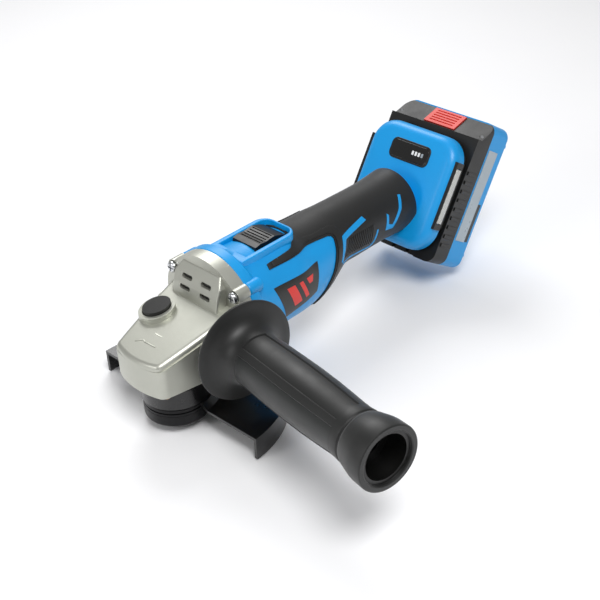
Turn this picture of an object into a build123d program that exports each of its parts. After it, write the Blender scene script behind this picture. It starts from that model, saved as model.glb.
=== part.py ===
from build123d import *
import math
import os

# Cordless angle grinder, millimetres.
# The origin is on the spindle axis at the outer face of the lock nut. +Z runs up the spindle,
# +X runs back along the motor and grip, and the side handle points to -Y.

# ---- Driving sizes -------------------------------------------------------------------------
MOTOR_Z = 55.0            # height of the rotor axis
BARREL_Z = 57.0           # height of the housing's centre line
HEAD_SPLIT_Z = 31.5       # joint between the gear housing and the bearing box
HEAD_BACK_X = 38.5        # joint between the gear housing and the plastic housing
WHEEL_GUARD_R = 67.25     # guard radius for a 125 mm disc
GUARD_TOP_Z = 10.3        # upper face of the guard plate
GUARD_LIP = 15.2          # height of the guard's rim
THREAD_R = 7.0            # M14 spindle thread
NUT_R = 20.5
BARREL_R = 32.6
RING_R = 34.5             # front ring of the plastic housing
GRIP_R = 20.3
GRIP_END_X = 188.0        # where the grip's axis meets the foot
FOOT_TILT = 33.0          # the foot and pack lean back by this angle
PACK_LENGTH = 102.0
PACK_WIDTH = 75.0
HANDLE_TILT = 9.5         # the side handle leans forward
HANDLE_RISE = 1.9         # and a little up
HANDLE_LENGTH = 127.0     # from the flange to the end ring
HANDLE_FLANGE_R = 31.4
STUD_R = 4.0              # M8 side handle thread
GEAR_TEETH = 37
PINION_TEETH = 10
GEAR_MODULE = 1.05

# ---- Walls and clearances ------------------------------------------------------------------
CAST_WALL = 3.0
PLASTIC_WALL = 2.6
SKIN = 1.2                # thickness of the soft skin on the grip
RUN_FIT = 0.04            # radial clearance of a shaft in its bearing
GAP = 0.3                 # clearance between pieces that move past each other
SEAT = 0.1                # clearance between pieces that are clamped or nested

parts = {}


# ---- Helpers -------------------------------------------------------------------------------
def disc_z(radius, low, high, x=0.0, y=0.0):
    """Upright cylinder between two heights."""
    return Pos(x, y, (low + high) / 2) * Cylinder(radius, high - low)


def ring_z(outer, inner, low, high, x=0.0, y=0.0):
    """Upright tube between two heights."""
    return disc_z(outer, low, high, x, y) - disc_z(inner, low - 1, high + 1, x, y)


def disc_x(radius, start, end, y=0.0, z=MOTOR_Z):
    """Cylinder along X between two stations."""
    return Pos((start + end) / 2, y, z) * Rot(0, 90, 0) * Cylinder(radius, end - start)


def ring_x(outer, inner, start, end, y=0.0, z=MOTOR_Z):
    """Tube along X between two stations."""
    return disc_x(outer, start, end, y, z) - disc_x(inner, start - 1, end + 1, y, z)


def block(x0, x1, y0, y1, z0, z1):
    """Box between two corners."""
    return Pos((x0 + x1) / 2, (y0 + y1) / 2, (z0 + z1) / 2) * Box(x1 - x0, y1 - y0, z1 - z0)


def four_corners(x, y, make):
    """The same piece at the four corners (+-x, +-y)."""
    return [make(sx * x, sy * y) for sx in (-1, 1) for sy in (-1, 1)]


def spin_profile(points, axis):
    """Solid of revolution of a closed outline in the XZ plane."""
    face = make_face(Polyline(*[(x, 0, z) for x, z in points], close=True))
    return revolve(face, axis)


# ---- Bevel gears ---------------------------------------------------------------------------
GEAR_PITCH_R = GEAR_TEETH * GEAR_MODULE / 2
PINION_PITCH_R = PINION_TEETH * GEAR_MODULE / 2
FACE_WIDTH = 5.2
ADDENDUM = 0.7 * GEAR_MODULE
DEDENDUM = 1.0 * GEAR_MODULE
TOOTH_SHARE = 0.40        # tooth thickness over circular pitch, the rest is backlash
PRESSURE_ANGLE = 20.0
GEAR_BACK_Z = 43.0
GEAR_WEB_Z = 46.3
GEAR_HUB_R = 7.6
GEAR_HUB_TOP = 50.0
LOCK_HOLE_R = 2.3
LOCK_RING_R = 11.8        # radius of the ring of lock pin holes


def bevel_teeth(pitch_r, mate_r, teeth, first_angle):
    """Straight bevel teeth about Z with the cone apex at the origin, below the apex."""
    cone = math.hypot(pitch_r, mate_r)
    shrink = 1 - FACE_WIDTH / cone
    pitch_point = Vector(pitch_r, 0, -mate_r)
    outward = Vector(mate_r, 0, pitch_r) / cone
    half = TOOTH_SHARE * math.pi * GEAR_MODULE / 2
    slope = math.tan(math.radians(PRESSURE_ANGLE))
    corners = []
    for height in (-DEDENDUM - 0.25, ADDENDUM):
        for side in (-1, 1):
            width = half - height * slope
            corners.append(pitch_point + outward * height + Vector(0, side * width, 0))
    big = [corners[i] for i in (0, 1, 3, 2)]
    small = [corner * (shrink + 0.003) for corner in big]
    tooth = loft([make_face(Polyline(*big, close=True)), make_face(Polyline(*small, close=True))])
    step = 360 / teeth
    return [Rot(0, 0, first_angle + i * step) * tooth for i in range(teeth)]


def bevel_blank(pitch_r, mate_r, back, web, inner):
    """Body under the teeth: root cone, back face at -back and web face at -web inside it."""
    cone = math.hypot(pitch_r, mate_r)
    shrink = 1 - FACE_WIDTH / cone
    root_x = pitch_r - DEDENDUM * mate_r / cone
    root_z = -mate_r - DEDENDUM * pitch_r / cone
    outline = [
        (root_x, root_z),
        (root_x * shrink, root_z * shrink),
        (root_x * shrink, -web),
        (inner, -web),
        (inner, -back),
        (root_x, -back),
    ]
    return spin_profile(outline, Axis.Z)


def make_bevel_gear():
    step = 360 / GEAR_TEETH
    blank = bevel_blank(
        GEAR_PITCH_R, PINION_PITCH_R, MOTOR_Z - GEAR_BACK_Z, MOTOR_Z - GEAR_WEB_Z, 3.0
    )
    wheel = blank + bevel_teeth(GEAR_PITCH_R, PINION_PITCH_R, GEAR_TEETH, step / 2)
    wheel = Pos(0, 0, MOTOR_Z) * wheel
    wheel += disc_z(GEAR_HUB_R, GEAR_BACK_Z, GEAR_HUB_TOP)
    wheel -= disc_z(SPINDLE_SEAT_R + 0.01, GEAR_BACK_Z - 1, GEAR_HUB_TOP + 1)
    for quarter in range(4):
        angle = math.radians(LOCK_ANGLE + 90 * quarter)
        x = LOCK_RING_R * math.cos(angle)
        y = LOCK_RING_R * math.sin(angle)
        wheel -= disc_z(LOCK_HOLE_R, GEAR_BACK_Z - 1, GEAR_HUB_TOP + 1, x, y)
    return wheel - spindle_key_space(0.05)


def make_pinion():
    hub_back = PINION_BACK_X
    front = GEAR_PITCH_R * (1 - FACE_WIDTH / math.hypot(GEAR_PITCH_R, PINION_PITCH_R))
    blank = bevel_blank(PINION_PITCH_R, GEAR_PITCH_R, hub_back, front, 1.0)
    shape = blank + bevel_teeth(PINION_PITCH_R, GEAR_PITCH_R, PINION_TEETH, 0)
    shape = Pos(0, 0, MOTOR_Z) * Rot(0, -90, 0) * shape
    return shape - disc_x(PINION_SEAT_R + 0.01, 5, hub_back + 1)


# ---- Spindle group -------------------------------------------------------------------------
NUT_TOP = 7.5
FLANGE_LOW = 7.6
FLANGE_TOP = 12.3
SPINDLE_END = -4.5
SPINDLE_SHOULDER_R = 8.5
LOWER_BEARING = (6.0, 16.0, 30.6, 40.6)      # bore radius, outer radius, bottom, top (6201)
UPPER_BEARING = (4.0, 6.0, 50.4, 55.2)       # needle bearing in the roof of the head
SPINDLE_SEAT_R = 6.0
KEY_WIDTH = 3.0
KEY_REACH = 1.1
LOCK_BUTTON_X = 4.5
LOCK_BUTTON_Y = 14.7
LOCK_ANGLE = math.degrees(math.atan2(LOCK_BUTTON_Y, LOCK_BUTTON_X))
PINION_BACK_X = 23.6
PINION_SEAT_R = 2.5
PINION_NUT_FRONT = 10.2


def spindle_key_space(extra):
    """Block of the key between the spindle and the gear, grown by a clearance."""
    return block(
        -SPINDLE_SEAT_R - KEY_REACH - extra,
        -SPINDLE_SEAT_R + 1.5,
        -KEY_WIDTH / 2 - extra,
        KEY_WIDTH / 2 + extra,
        GEAR_BACK_Z + 0.6,
        GEAR_BACK_Z + 5.0,
    )


def make_spindle():
    shaft = disc_z(THREAD_R, SPINDLE_END, 0)
    shaft += disc_z(THREAD_R - 0.8, -0.5, 0.9)
    shaft += disc_z(THREAD_R, 0.8, FLANGE_TOP + 0.1)
    shaft += disc_z(SPINDLE_SHOULDER_R, FLANGE_TOP + 0.1, LOWER_BEARING[2] - 0.2)
    shaft += disc_z(SPINDLE_SEAT_R, LOWER_BEARING[2] - 0.3, GEAR_HUB_TOP)
    shaft += disc_z(UPPER_BEARING[0] - RUN_FIT, GEAR_HUB_TOP - 0.1, UPPER_BEARING[3] - 0.2)
    return shaft - spindle_key_space(0)


def make_bearing_z(size):
    """Ball bearing on the spindle, with a shield groove in each face."""
    bore, outer, low, high = size
    middle = (bore + outer) / 2
    width = (outer - bore) * 0.22
    ring = ring_z(outer, bore, low, high)
    ring -= ring_z(middle + width, middle - width, low - 1, low + 0.5)
    ring -= ring_z(middle + width, middle - width, high - 0.5, high + 1)
    return ring


def make_lock_nut():
    nut = disc_z(NUT_R, 0, NUT_TOP)
    nut = fillet(nut.edges().group_by(Axis.Z)[0], 1.6)
    nut -= ring_z(NUT_R - 4.2, NUT_R - 5.6, -1, 0.7)
    nut -= disc_z(THREAD_R + 0.05, -1, NUT_TOP + 1)
    for side in (-1, 1):
        nut -= disc_z(2.6, -1, 4.6, 0, side * 15.0)
    return nut


def make_inner_flange():
    flange = disc_z(NUT_R - 0.1, FLANGE_LOW, FLANGE_TOP)
    flange -= ring_z(NUT_R + 1, NUT_R - 1.1, FLANGE_LOW + 1.7, FLANGE_LOW + 2.6)
    return flange - disc_z(THREAD_R + 0.05, FLANGE_LOW - 1, FLANGE_TOP + 1)


def add_spindle_group():
    parts["spindle"] = make_spindle()
    parts["spindle_key"] = spindle_key_space(0)
    parts["bevel_gear"] = make_bevel_gear()
    parts["inner_flange"] = make_inner_flange()
    parts["lock_nut"] = make_lock_nut()
    parts["spindle_bearing_lower"] = make_bearing_z(LOWER_BEARING)
    parts["spindle_bearing_upper"] = ring_z(
        UPPER_BEARING[1], UPPER_BEARING[0], UPPER_BEARING[2], UPPER_BEARING[3]
    )
    parts["bearing_retainer"] = ring_z(
        BOX_SPIGOT_R, 11.0, LOWER_BEARING[3] + SEAT, LOWER_BEARING[3] + 1.7
    )


# ---- Gear head -----------------------------------------------------------------------------
NOSE_X = -28.2
NOSE_CORNER = (-24.6, 20.4)
NOSE_ROUND = 6.0          # plan radius of the nose corners
HEAD_MID_Y = 24.9
HEAD_EDGE_R = 3.2
LEDGE_STEP = 1.1          # the crown stands in from the side walls by this much
LEDGE_DROP = 3.6          # depth of that step under the top face
HEAD_DRAW = 45.0          # height the walls are drawn up before the top is cut
HEAD_REAR_Y = 29.8
HEAD_FLANGE_X = 29.5
TOP_NOSE_Z = 52.2         # height of the top face at the nose
TOP_RISE = 0.274          # slope of the top face
NOSE_TOP_X = -24.9
FLANGE_SCREW_Y = 26.4
FLANGE_SCREW_Z = 18.5
FLANGE_SCREW_R = 3.6
VENT_HALF = 19.6
BOX_SPIGOT_R = 18.6
BOX_LIP_Z = 29.2
BOX_NECK_R = 19.0
BOX_NECK_Z = 14.0
BOX_SCREW = (19.6, 16.2)
SOCKET_OUT = 30.5         # distance of the handle sockets' mouths from the centre plane
SOCKET_DEPTH = 17.0
SOCKET_BOSS_R = 9.2
SOCKET_X = 26.5
SOCKET_Z = 50.5


def top_height(x):
    """Height of the head's sloped top face."""
    return TOP_NOSE_Z + TOP_RISE * (x - NOSE_TOP_X)


def head_plan(inset, x_back):
    """Plan outline of the gear head, inset from its outer wall."""
    corner = (NOSE_CORNER[0] + inset, NOSE_CORNER[1] - inset)
    middle = (0, HEAD_MID_Y - inset)
    rear = (x_back, HEAD_REAR_Y - inset)
    nose = ThreePointArc((corner[0], -corner[1]), (NOSE_X + inset, 0), corner)
    left = ThreePointArc(corner, middle, rear)
    right = ThreePointArc((rear[0], -rear[1]), (middle[0], -middle[1]), (corner[0], -corner[1]))
    plan = make_face(Curve() + [nose, left, Line(rear, (rear[0], -rear[1])), right])
    return fillet([v for v in plan.vertices() if v.X < 0], NOSE_ROUND - inset)


def under_slope(drop, x0, x1):
    """Everything below the sloped top face, lowered by a distance."""
    outline = [
        (x0, top_height(x0) - drop),
        (x1, top_height(x1) - drop),
        (x1, -20),
        (x0, -20),
    ]
    face = make_face(Polyline(*[(x, 60, z) for x, z in outline], close=True))
    return extrude(face, amount=120, dir=(0, -1, 0))


def drawn_walls(inset, x_back):
    """The head's plan drawn up from the parting line."""
    plan = Pos(0, 0, HEAD_SPLIT_Z) * head_plan(inset, x_back)
    return extrude(plan, amount=HEAD_DRAW)


def head_body():
    """Outside of the gear box: its walls, and a crown stepped in along both sides."""
    walls = drawn_walls(0, HEAD_FLANGE_X + 4) & under_slope(LEDGE_DROP, -60, 60)
    crown = Pos(-LEDGE_STEP, 0, 0) * drawn_walls(LEDGE_STEP, HEAD_FLANGE_X + 4)
    crown &= under_slope(0, -60, 60)
    top = crown.faces().sort_by(Axis.Z)[-1]
    edges = [e for e in top.edges() if e.center().X < HEAD_FLANGE_X - 2]
    return walls + fillet(edges, HEAD_EDGE_R)


def vent_block():
    """Raised block at the back of the head that carries the four air slots."""
    front = [(20.2, 60), (21.2, 67), (22.6, 73), (25.2, 79.5), (28.8, 84.4), (33.8, 87.8)]
    outline = front + [(HEAD_BACK_X, 88.2), (HEAD_BACK_X, 60)]
    face = make_face(Polyline(*[(x, -VENT_HALF, z) for x, z in outline], close=True))
    hood = extrude(face, amount=2 * VENT_HALF, dir=(0, 1, 0))
    for side in (-1, 1):
        cutter = [(side * 21, 76), (side * 13.3, 90), (side * 21, 90)]
        wedge = make_face(Polyline(*[(10, y, z) for y, z in cutter], close=True))
        hood -= extrude(wedge, amount=40, dir=(1, 0, 0))
    edges = [e for e in hood.edges() if e.center().X < 33 and abs(e.center().Y) > 12]
    return fillet([e for e in edges if e.center().Z > 61 and e.center().X < 29], 1.2)


def head_flange():
    """Rear flange of the head with a boss at each of its four screws."""
    flange = disc_x(RING_R - 0.3, HEAD_FLANGE_X, HEAD_BACK_X, 0, BARREL_Z)
    for sy in (-1, 1):
        for sz in (-1, 1):
            flange += disc_x(
                4.6, HEAD_FLANGE_X, HEAD_BACK_X, sy * FLANGE_SCREW_Y, BARREL_Z + sz * FLANGE_SCREW_Z
            )
    return flange


def handle_socket(side, radius, start, end):
    """Cylinder on a side handle axis, from one distance to another out from the centre plane."""
    return handle_place(side) * (Pos(0, 0, (start + end) / 2) * Cylinder(radius, end - start))


def handle_place(side):
    """Frame at the centre plane whose +Z runs out along a side handle axis."""
    lean = math.radians(HANDLE_TILT)
    rise = math.radians(HANDLE_RISE)
    out = (
        -math.sin(lean) * math.cos(rise),
        side * math.cos(lean) * math.cos(rise),
        math.sin(rise),
    )
    return Plane(origin=(SOCKET_X, 0, SOCKET_Z), x_dir=(side * out[1], -side * out[0], 0), z_dir=out)


def place(plane, shape):
    """Move a shape from the origin's frame into another."""
    return plane.location * shape


def gear_space():
    """Inside of the gear box."""
    space = drawn_walls(CAST_WALL, 24) + Pos(0, 0, -1) * drawn_walls(CAST_WALL, 24)
    return space & under_slope(CAST_WALL - 0.4, -60, 60) & block(-60, 23.0, -60, 60, 20, 90)


def vent_slots():
    """Two rows of two slots, run back into the fan chamber."""
    slots = []
    for x, z, half_gap in ((24.6, 78.0, 8.1), (22.3, 71.4, 8.6)):
        for side in (-1, 1):
            slot = Box(24, 8.6, 3.0)
            slot = fillet(slot.edges().filter_by(Axis.X), 1.2)
            slots.append(Pos(x + 6, side * half_gap, z - 1.2) * Rot(0, 10, 0) * slot)
    return slots


def make_gear_housing():
    body = head_body() + vent_block() + head_flange()
    low_back = Pos(0, 0, HEAD_SPLIT_Z) * extrude(head_plan(0, HEAD_FLANGE_X + 4), amount=12)
    body += low_back & block(10, HEAD_BACK_X, -60, 60, 0, 60)
    body += lock_boss()
    chamber = disc_x(RING_R - 5.0, 31.2, HEAD_BACK_X + 1, 0, BARREL_Z)
    body -= gear_space()
    body += [socket_boss(side) for side in (-1, 1)]
    body += disc_z(UPPER_BEARING[1] + 2.2, UPPER_BEARING[2], top_height(0) - 2)
    body -= disc_z(UPPER_BEARING[1] + 0.01, UPPER_BEARING[2] - 1, UPPER_BEARING[3] + SEAT)
    body -= chamber
    body -= disc_x(11.01, 24.0, 32)
    body -= disc_x(7.0, 15, 32)
    body -= vent_slots()
    body -= disc_z(BOX_SPIGOT_R + SEAT, 20, 42.5)
    for side in (-1, 1):
        body -= handle_socket(side, STUD_R + 0.05, SOCKET_OUT - SOCKET_DEPTH, SOCKET_OUT + 4)
    body -= lock_button_bore()
    for x, y in ((-1, -1), (-1, 1), (1, -1), (1, 1)):
        body -= disc_z(1.6, HEAD_SPLIT_Z - 1, HEAD_SPLIT_Z + 9, x * BOX_SCREW[0], y * BOX_SCREW[1])
    for sy in (-1, 1):
        for sz in (-1, 1):
            y = sy * FLANGE_SCREW_Y
            z = BARREL_Z + sz * FLANGE_SCREW_Z
            body -= disc_x(FLANGE_SCREW_R + 0.6, 22, HEAD_FLANGE_X + 0.6, y, z)
            body -= disc_x(2.1, 22, HEAD_BACK_X + 1, y, z)
    return body


def socket_boss(side):
    """Solid boss around a handle socket, cut back from the bevel gear's path."""
    boss = handle_socket(side, SOCKET_BOSS_R, SOCKET_OUT - SOCKET_DEPTH - 1.5, SOCKET_OUT)
    return boss - disc_z(GEAR_TEETH * GEAR_MODULE / 2 + 1.6, 20, 90)


def make_bearing_box():
    lip = Pos(0, 0, BOX_LIP_Z) * extrude(head_plan(0.4, 24.6), amount=HEAD_SPLIT_Z - SEAT - BOX_LIP_Z)
    box = lip + disc_z(BOX_NECK_R, BOX_NECK_Z, BOX_LIP_Z + 1)
    box += disc_z(BOX_SPIGOT_R, BOX_LIP_Z, LOWER_BEARING[3])
    box -= disc_z(LOWER_BEARING[1] + 0.01, LOWER_BEARING[2], 60)
    box -= disc_z(SPINDLE_SHOULDER_R + 0.6, 0, 60)
    for x in (-BOX_SCREW[0], BOX_SCREW[0]):
        for y in (-BOX_SCREW[1], BOX_SCREW[1]):
            box -= disc_z(1.75, 20, 40, x, y)
    return box & block(-60, 24.6, -60, 60, 0, 60)


def box_screw(x, y):
    screw = disc_z(3.1, BOX_LIP_Z - 2.2, BOX_LIP_Z - 0.02, x, y)
    screw = fillet(screw.edges().group_by(Axis.Z)[0], 1.3)
    screw += disc_z(1.5, BOX_LIP_Z - 0.1, HEAD_SPLIT_Z + 8, x, y)
    slot = Pos(x, y, BOX_LIP_Z - 2.2) * (Box(3.2, 0.7, 1.8) + Box(0.7, 3.2, 1.8))
    return screw - slot


def flange_screw(y, z):
    head = disc_x(FLANGE_SCREW_R, HEAD_FLANGE_X - 2.6, HEAD_FLANGE_X + 0.55, y, z)
    head = fillet(head.edges().group_by(Axis.X)[0], 1.6)
    head += disc_x(2.0, HEAD_FLANGE_X, HEAD_BACK_X + 12, y, z)
    slot = Box(2.4, 4.6, 0.9) + Box(2.4, 0.9, 4.6)
    return head - Pos(HEAD_FLANGE_X - 2.6, y, z) * slot


# ---- Spindle lock --------------------------------------------------------------------------
LOCK_TRAVEL = 3.6
LOCK_SIZE = (8.6, 6.7)    # half sizes of the oval button
LOCK_TURN = -38.0
LOCK_PIN_R = 2.0
LOCK_BOSS_RISE = 3.4
LOCK_BUTTON_RISE = 5.4


def lock_oval(grow, low, high):
    """Upright oval prism under the lock button."""
    oval = Ellipse(LOCK_SIZE[0] + grow, LOCK_SIZE[1] + grow)
    return extrude(Pos(LOCK_BUTTON_X, LOCK_BUTTON_Y, low) * Rot(0, 0, LOCK_TURN) * oval, amount=high - low)


def lock_boss():
    tall = lock_oval(2.6, 48, 80) & under_slope(-LOCK_BOSS_RISE, -60, 60)
    return tall & disc_z(60, 48, 80)


def lock_pin_place():
    angle = math.radians(LOCK_ANGLE)
    return LOCK_RING_R * math.cos(angle), LOCK_RING_R * math.sin(angle)


LOCK_FLOOR_DROP = 3.2     # depth of the button's pocket below the top face


def lock_button_bore():
    pocket = lock_oval(0.35, 40, 90) - under_slope(LOCK_FLOOR_DROP, -60, 60)
    x, y = lock_pin_place()
    return [pocket, disc_z(LOCK_PIN_R + 0.05, 40, 90, x, y)]


def make_lock_button():
    button = lock_oval(0, 50, 90) & under_slope(-LOCK_BUTTON_RISE, -60, 60)
    button -= under_slope(LOCK_FLOOR_DROP - LOCK_TRAVEL - 0.3, -60, 60)
    x, y = lock_pin_place()
    button -= disc_z(LOCK_PIN_R + 0.01, 40, lock_pin_top(), x, y)
    return button


def lock_pin_top():
    return top_height(lock_pin_place()[0]) + 2.6


def make_lock_pin():
    x, y = lock_pin_place()
    return disc_z(LOCK_PIN_R, GEAR_WEB_Z + 1.2, lock_pin_top(), x, y)


def make_lock_spring():
    x, y = lock_pin_place()
    floor = top_height(x) - LOCK_FLOOR_DROP + 1.0
    return ring_z(3.1, 2.3, floor + 0.2, floor + LOCK_TRAVEL - 1.6, x, y)


def add_gear_head():
    parts["gear_housing"] = make_gear_housing()
    parts["bearing_box"] = make_bearing_box()
    parts["bearing_box_screws"] = four_corners(BOX_SCREW[0], BOX_SCREW[1], box_screw)
    parts["gear_housing_screws"] = [
        flange_screw(sy * FLANGE_SCREW_Y, BARREL_Z + sz * FLANGE_SCREW_Z)
        for sy in (-1, 1) for sz in (-1, 1)
    ]
    parts["spindle_lock_button"] = make_lock_button()
    parts["spindle_lock_pin"] = make_lock_pin()
    parts["spindle_lock_spring"] = make_lock_spring()


# ---- Guard ---------------------------------------------------------------------------------
GUARD_SHEET = 2.0
COLLAR_IN = BOX_NECK_R + 0.1
COLLAR_OUT = 21.3
COLLAR_LOW = 13.6
COLLAR_TOP = 26.0
CLAMP_SCREW_Z = 19.6
CLAMP_X = 24.6


def make_guard():
    low = GUARD_TOP_Z - GUARD_SHEET
    bottom = GUARD_TOP_Z - GUARD_LIP
    outline = [
        (COLLAR_OUT + SEAT, COLLAR_LOW),
        (COLLAR_OUT + 1.8, COLLAR_LOW),
        (COLLAR_OUT + 5.5, GUARD_TOP_Z),
        (WHEEL_GUARD_R, GUARD_TOP_Z),
        (WHEEL_GUARD_R, bottom),
        (WHEEL_GUARD_R - GUARD_SHEET, bottom),
        (WHEEL_GUARD_R - GUARD_SHEET, low),
        (COLLAR_OUT + 4.4, low),
        (COLLAR_OUT + SEAT, COLLAR_LOW - 1.6),
    ]
    face = make_face(Polyline(*[(x, 0, z) for x, z in outline], close=True))
    half = Rot(0, 0, -89) * revolve(face, Axis.Z, 180)
    return half


def make_guard_collar():
    collar = ring_z(COLLAR_OUT, COLLAR_IN, COLLAR_LOW, COLLAR_TOP)
    ears = block(COLLAR_IN + 1, CLAMP_X + 4.2, -5.5, 5.5, COLLAR_LOW + 2.2, COLLAR_TOP - 1.8)
    collar += ears - disc_z(COLLAR_IN, 0, 60)
    collar -= block(COLLAR_IN - 3, 40, -1.6, 1.6, 0, 60)
    return collar - clamp_bolt(2.05, -12, 12)


def clamp_bolt(radius, start, end):
    """Cylinder along Y through the two ears of the collar."""
    middle = Pos(CLAMP_X + 0.5, (start + end) / 2, CLAMP_SCREW_Z)
    return middle * Rot(90, 0, 0) * Cylinder(radius, end - start)


def add_guard():
    parts["guard"] = make_guard()
    parts["guard_collar"] = make_guard_collar()
    head = clamp_bolt(3.3, -9.0, -5.52) - clamp_bolt(1.8, -9.5, -7.0)
    parts["guard_clamp_screw"] = head + clamp_bolt(2.0, -5.6, 10.5)
    nut = Pos(CLAMP_X + 0.5, 7.1, CLAMP_SCREW_Z) * Rot(90, 0, 0) * extrude(
        RegularPolygon(3.6, 6), amount=1.55, both=True
    )
    parts["guard_clamp_nut"] = nut - clamp_bolt(2.02, -12, 12)


# ---- Motor ---------------------------------------------------------------------------------
FRONT_BEARING = (4.0, 11.0, 24.05, 31.05)    # bore radius, outer radius, front, back (608)
REAR_BEARING = (3.5, 9.5, 104.0, 110.0)      # 607
BEARING_PLATE = (31.25, 33.2)
FAN = (36.0, 47.5)
FAN_R = 26.0
BAFFLE = (49.0, 51.0)
STATOR = (57.0, 80.0)
STATOR_R = 22.6
STATOR_BORE_R = 14.2
ROTOR_R = 13.6
WINDING = 4.6             # how far the windings stand out at each end
SHAFT_R = 5.0


def make_bearing_x(size):
    """Ball bearing on the rotor shaft, with a shield groove in each face."""
    bore, outer, start, end = size
    middle = (bore + outer) / 2
    width = (outer - bore) * 0.22
    ring = ring_x(outer, bore, start, end)
    ring -= ring_x(middle + width, middle - width, start - 1, start + 0.4)
    ring -= ring_x(middle + width, middle - width, end - 0.4, end + 1)
    return ring


def make_rotor_shaft():
    shaft = disc_x(PINION_SEAT_R, PINION_NUT_FRONT - 0.6, PINION_BACK_X + 1)
    shaft += disc_x(FRONT_BEARING[0] - RUN_FIT, PINION_BACK_X + 0.02, FRONT_BEARING[3] + 0.1)
    shaft += disc_x(SHAFT_R, FRONT_BEARING[3] + 0.1, REAR_BEARING[2] - 0.2)
    shaft += disc_x(REAR_BEARING[0] - RUN_FIT, REAR_BEARING[2] - 0.3, REAR_BEARING[3] + 1.5)
    return shaft


def make_rotor_core():
    core = ring_x(ROTOR_R, SHAFT_R + 0.02, STATOR[0] - 1.5, STATOR[1] + 1.5)
    for i in range(4):
        slot = Pos(0, 0, 9.4) * Box(STATOR[1] - STATOR[0] + 9, 11.0, 2.2)
        core -= Pos((STATOR[0] + STATOR[1]) / 2, 0, MOTOR_Z) * Rot(45 + i * 90, 0, 0) * slot
    return core


def make_fan():
    fan = disc_x(FAN_R, FAN[1] - 2.0, FAN[1])
    fan += disc_x(9.0, FAN[0], FAN[1])
    blades = 12
    for i in range(blades):
        blade = Pos(FAN[0] + 5.0, 0, 16.6) * Rot(0, 0, 0) * Box(10.0, 1.4, 17.2)
        fan += Pos(0, 0, MOTOR_Z) * Rot(i * 360 / blades, 0, 0) * Pos(0, 3.0, 0) * blade
    return fan - disc_x(SHAFT_R + 0.02, FAN[0] - 1, FAN[1] + 1)


def make_stator_core():
    core = ring_x(STATOR_R, STATOR_BORE_R, STATOR[0], STATOR[1])
    for i in range(6):
        window = Pos(0, 0, 17.6) * Box(STATOR[1] - STATOR[0] + 4, 7.0, 4.6)
        mouth = Pos(0, 0, 15.0) * Box(STATOR[1] - STATOR[0] + 4, 1.6, 4.0)
        middle = Pos((STATOR[0] + STATOR[1]) / 2, 0, MOTOR_Z) * Rot(i * 60, 0, 0)
        core -= middle * window
        core -= middle * mouth
    return core


def make_stator_windings():
    ends = []
    for start in (STATOR[0] - WINDING, STATOR[1] + 0.05):
        end = start + WINDING - 0.05
        coil = ring_x(19.8, 14.6, start, end)
        ends.append(fillet(coil.edges().filter_by(GeomType.CIRCLE), 1.2))
    return ends


def add_motor():
    parts["pinion"] = make_pinion()
    nut = extrude(RegularPolygon(4.0, 6), amount=3.8)
    nut = Pos(PINION_NUT_FRONT, 0, MOTOR_Z) * Rot(0, 90, 0) * nut
    parts["pinion_nut"] = nut - disc_x(PINION_SEAT_R + 0.02, 5, 20)
    parts["rotor_shaft"] = make_rotor_shaft()
    parts["rotor_core"] = make_rotor_core()
    parts["rotor_bearing_front"] = make_bearing_x(FRONT_BEARING)
    parts["rotor_bearing_rear"] = make_bearing_x(REAR_BEARING)
    plate = disc_x(RING_R - 5.3, BEARING_PLATE[0], BEARING_PLATE[1], 0, BARREL_Z)
    plate -= disc_x(7.0, 20, 50)
    for i in range(6):
        hole = disc_x(5.0, 20, 50, 0, MOTOR_Z + 19)
        turn = Pos(0, 0, MOTOR_Z) * Rot(i * 60, 0, 0) * Pos(0, 0, -MOTOR_Z)
        plate -= turn * hole
    parts["bearing_plate"] = plate
    parts["fan"] = make_fan()
    parts["fan_baffle"] = ring_x(26.9, 19.0, BAFFLE[0], BAFFLE[1])
    parts["stator_core"] = make_stator_core()
    parts["stator_windings"] = make_stator_windings()
    board = ring_x(15.0, 8.0, STATOR[1] + WINDING + 1.0, STATOR[1] + WINDING + 2.6)
    parts["motor_board"] = board


# ---- Plastic housing -----------------------------------------------------------------------
# Stations of the barrel and grip: (x, height of the centre, radius).
SECTIONS = [
    (44.0, BARREL_Z, RING_R - 1.0),
    (56.0, 55.0, 31.0),
    (70.0, 54.5, BARREL_R - 2.0),
    (84.0, 54.3, BARREL_R - 2.2),
    (98.0, 51.6, BARREL_R - 4.2),
    (110.0, 52.8, 26.4),
    (121.0, 55.1, 24.2),
    (133.0, 58.2, GRIP_R + 0.9),
    (150.0, 58.2, GRIP_R + 0.6),
    (170.0, 58.0, GRIP_R + 0.5),
    (GRIP_END_X + 8, 57.8, GRIP_R + 0.7),
]
RING_END = 46.0
SKIN_START = 113.0
SWITCH_RECESS = (54.5, 94.0)
RECESS_HALF = 11.6
RECESS_FLOOR = 80.6
SLIDER = (63.0, 90.0)
SLIDER_HALF = 9.8
SLIDER_TOP = 86.8
ROD_SLOPE = 12.1
STRIP = (63.0, 14.0, 76.0)      # front end, inner edge and lower edge of the skin's top strips

FOOT_U = (1.5, 13.0)
FOOT_W = (-27.0, 53.0)
FOOT_HALF = 36.5
FOOT_TOP_HALF = 27.0
RAIL_U = (13.05, 17.0)
PACK_U = (17.4, 33.4)
TRAY_END_U = 55.2
PACK_LOW_W = -31.0
PACK_TOP_W = PACK_LOW_W + PACK_LENGTH


def foot_frame(u=0.0):
    """Frame on the foot: local X is +Y, local Y runs up the foot and +Z out to the pack."""
    tilt = math.radians(FOOT_TILT)
    out = (math.cos(tilt), 0, -math.sin(tilt))
    origin = (200 + u * out[0], 0, BARREL_Z + u * out[2])
    return Plane(origin=origin, x_dir=(0, 1, 0), z_dir=out)


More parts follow.
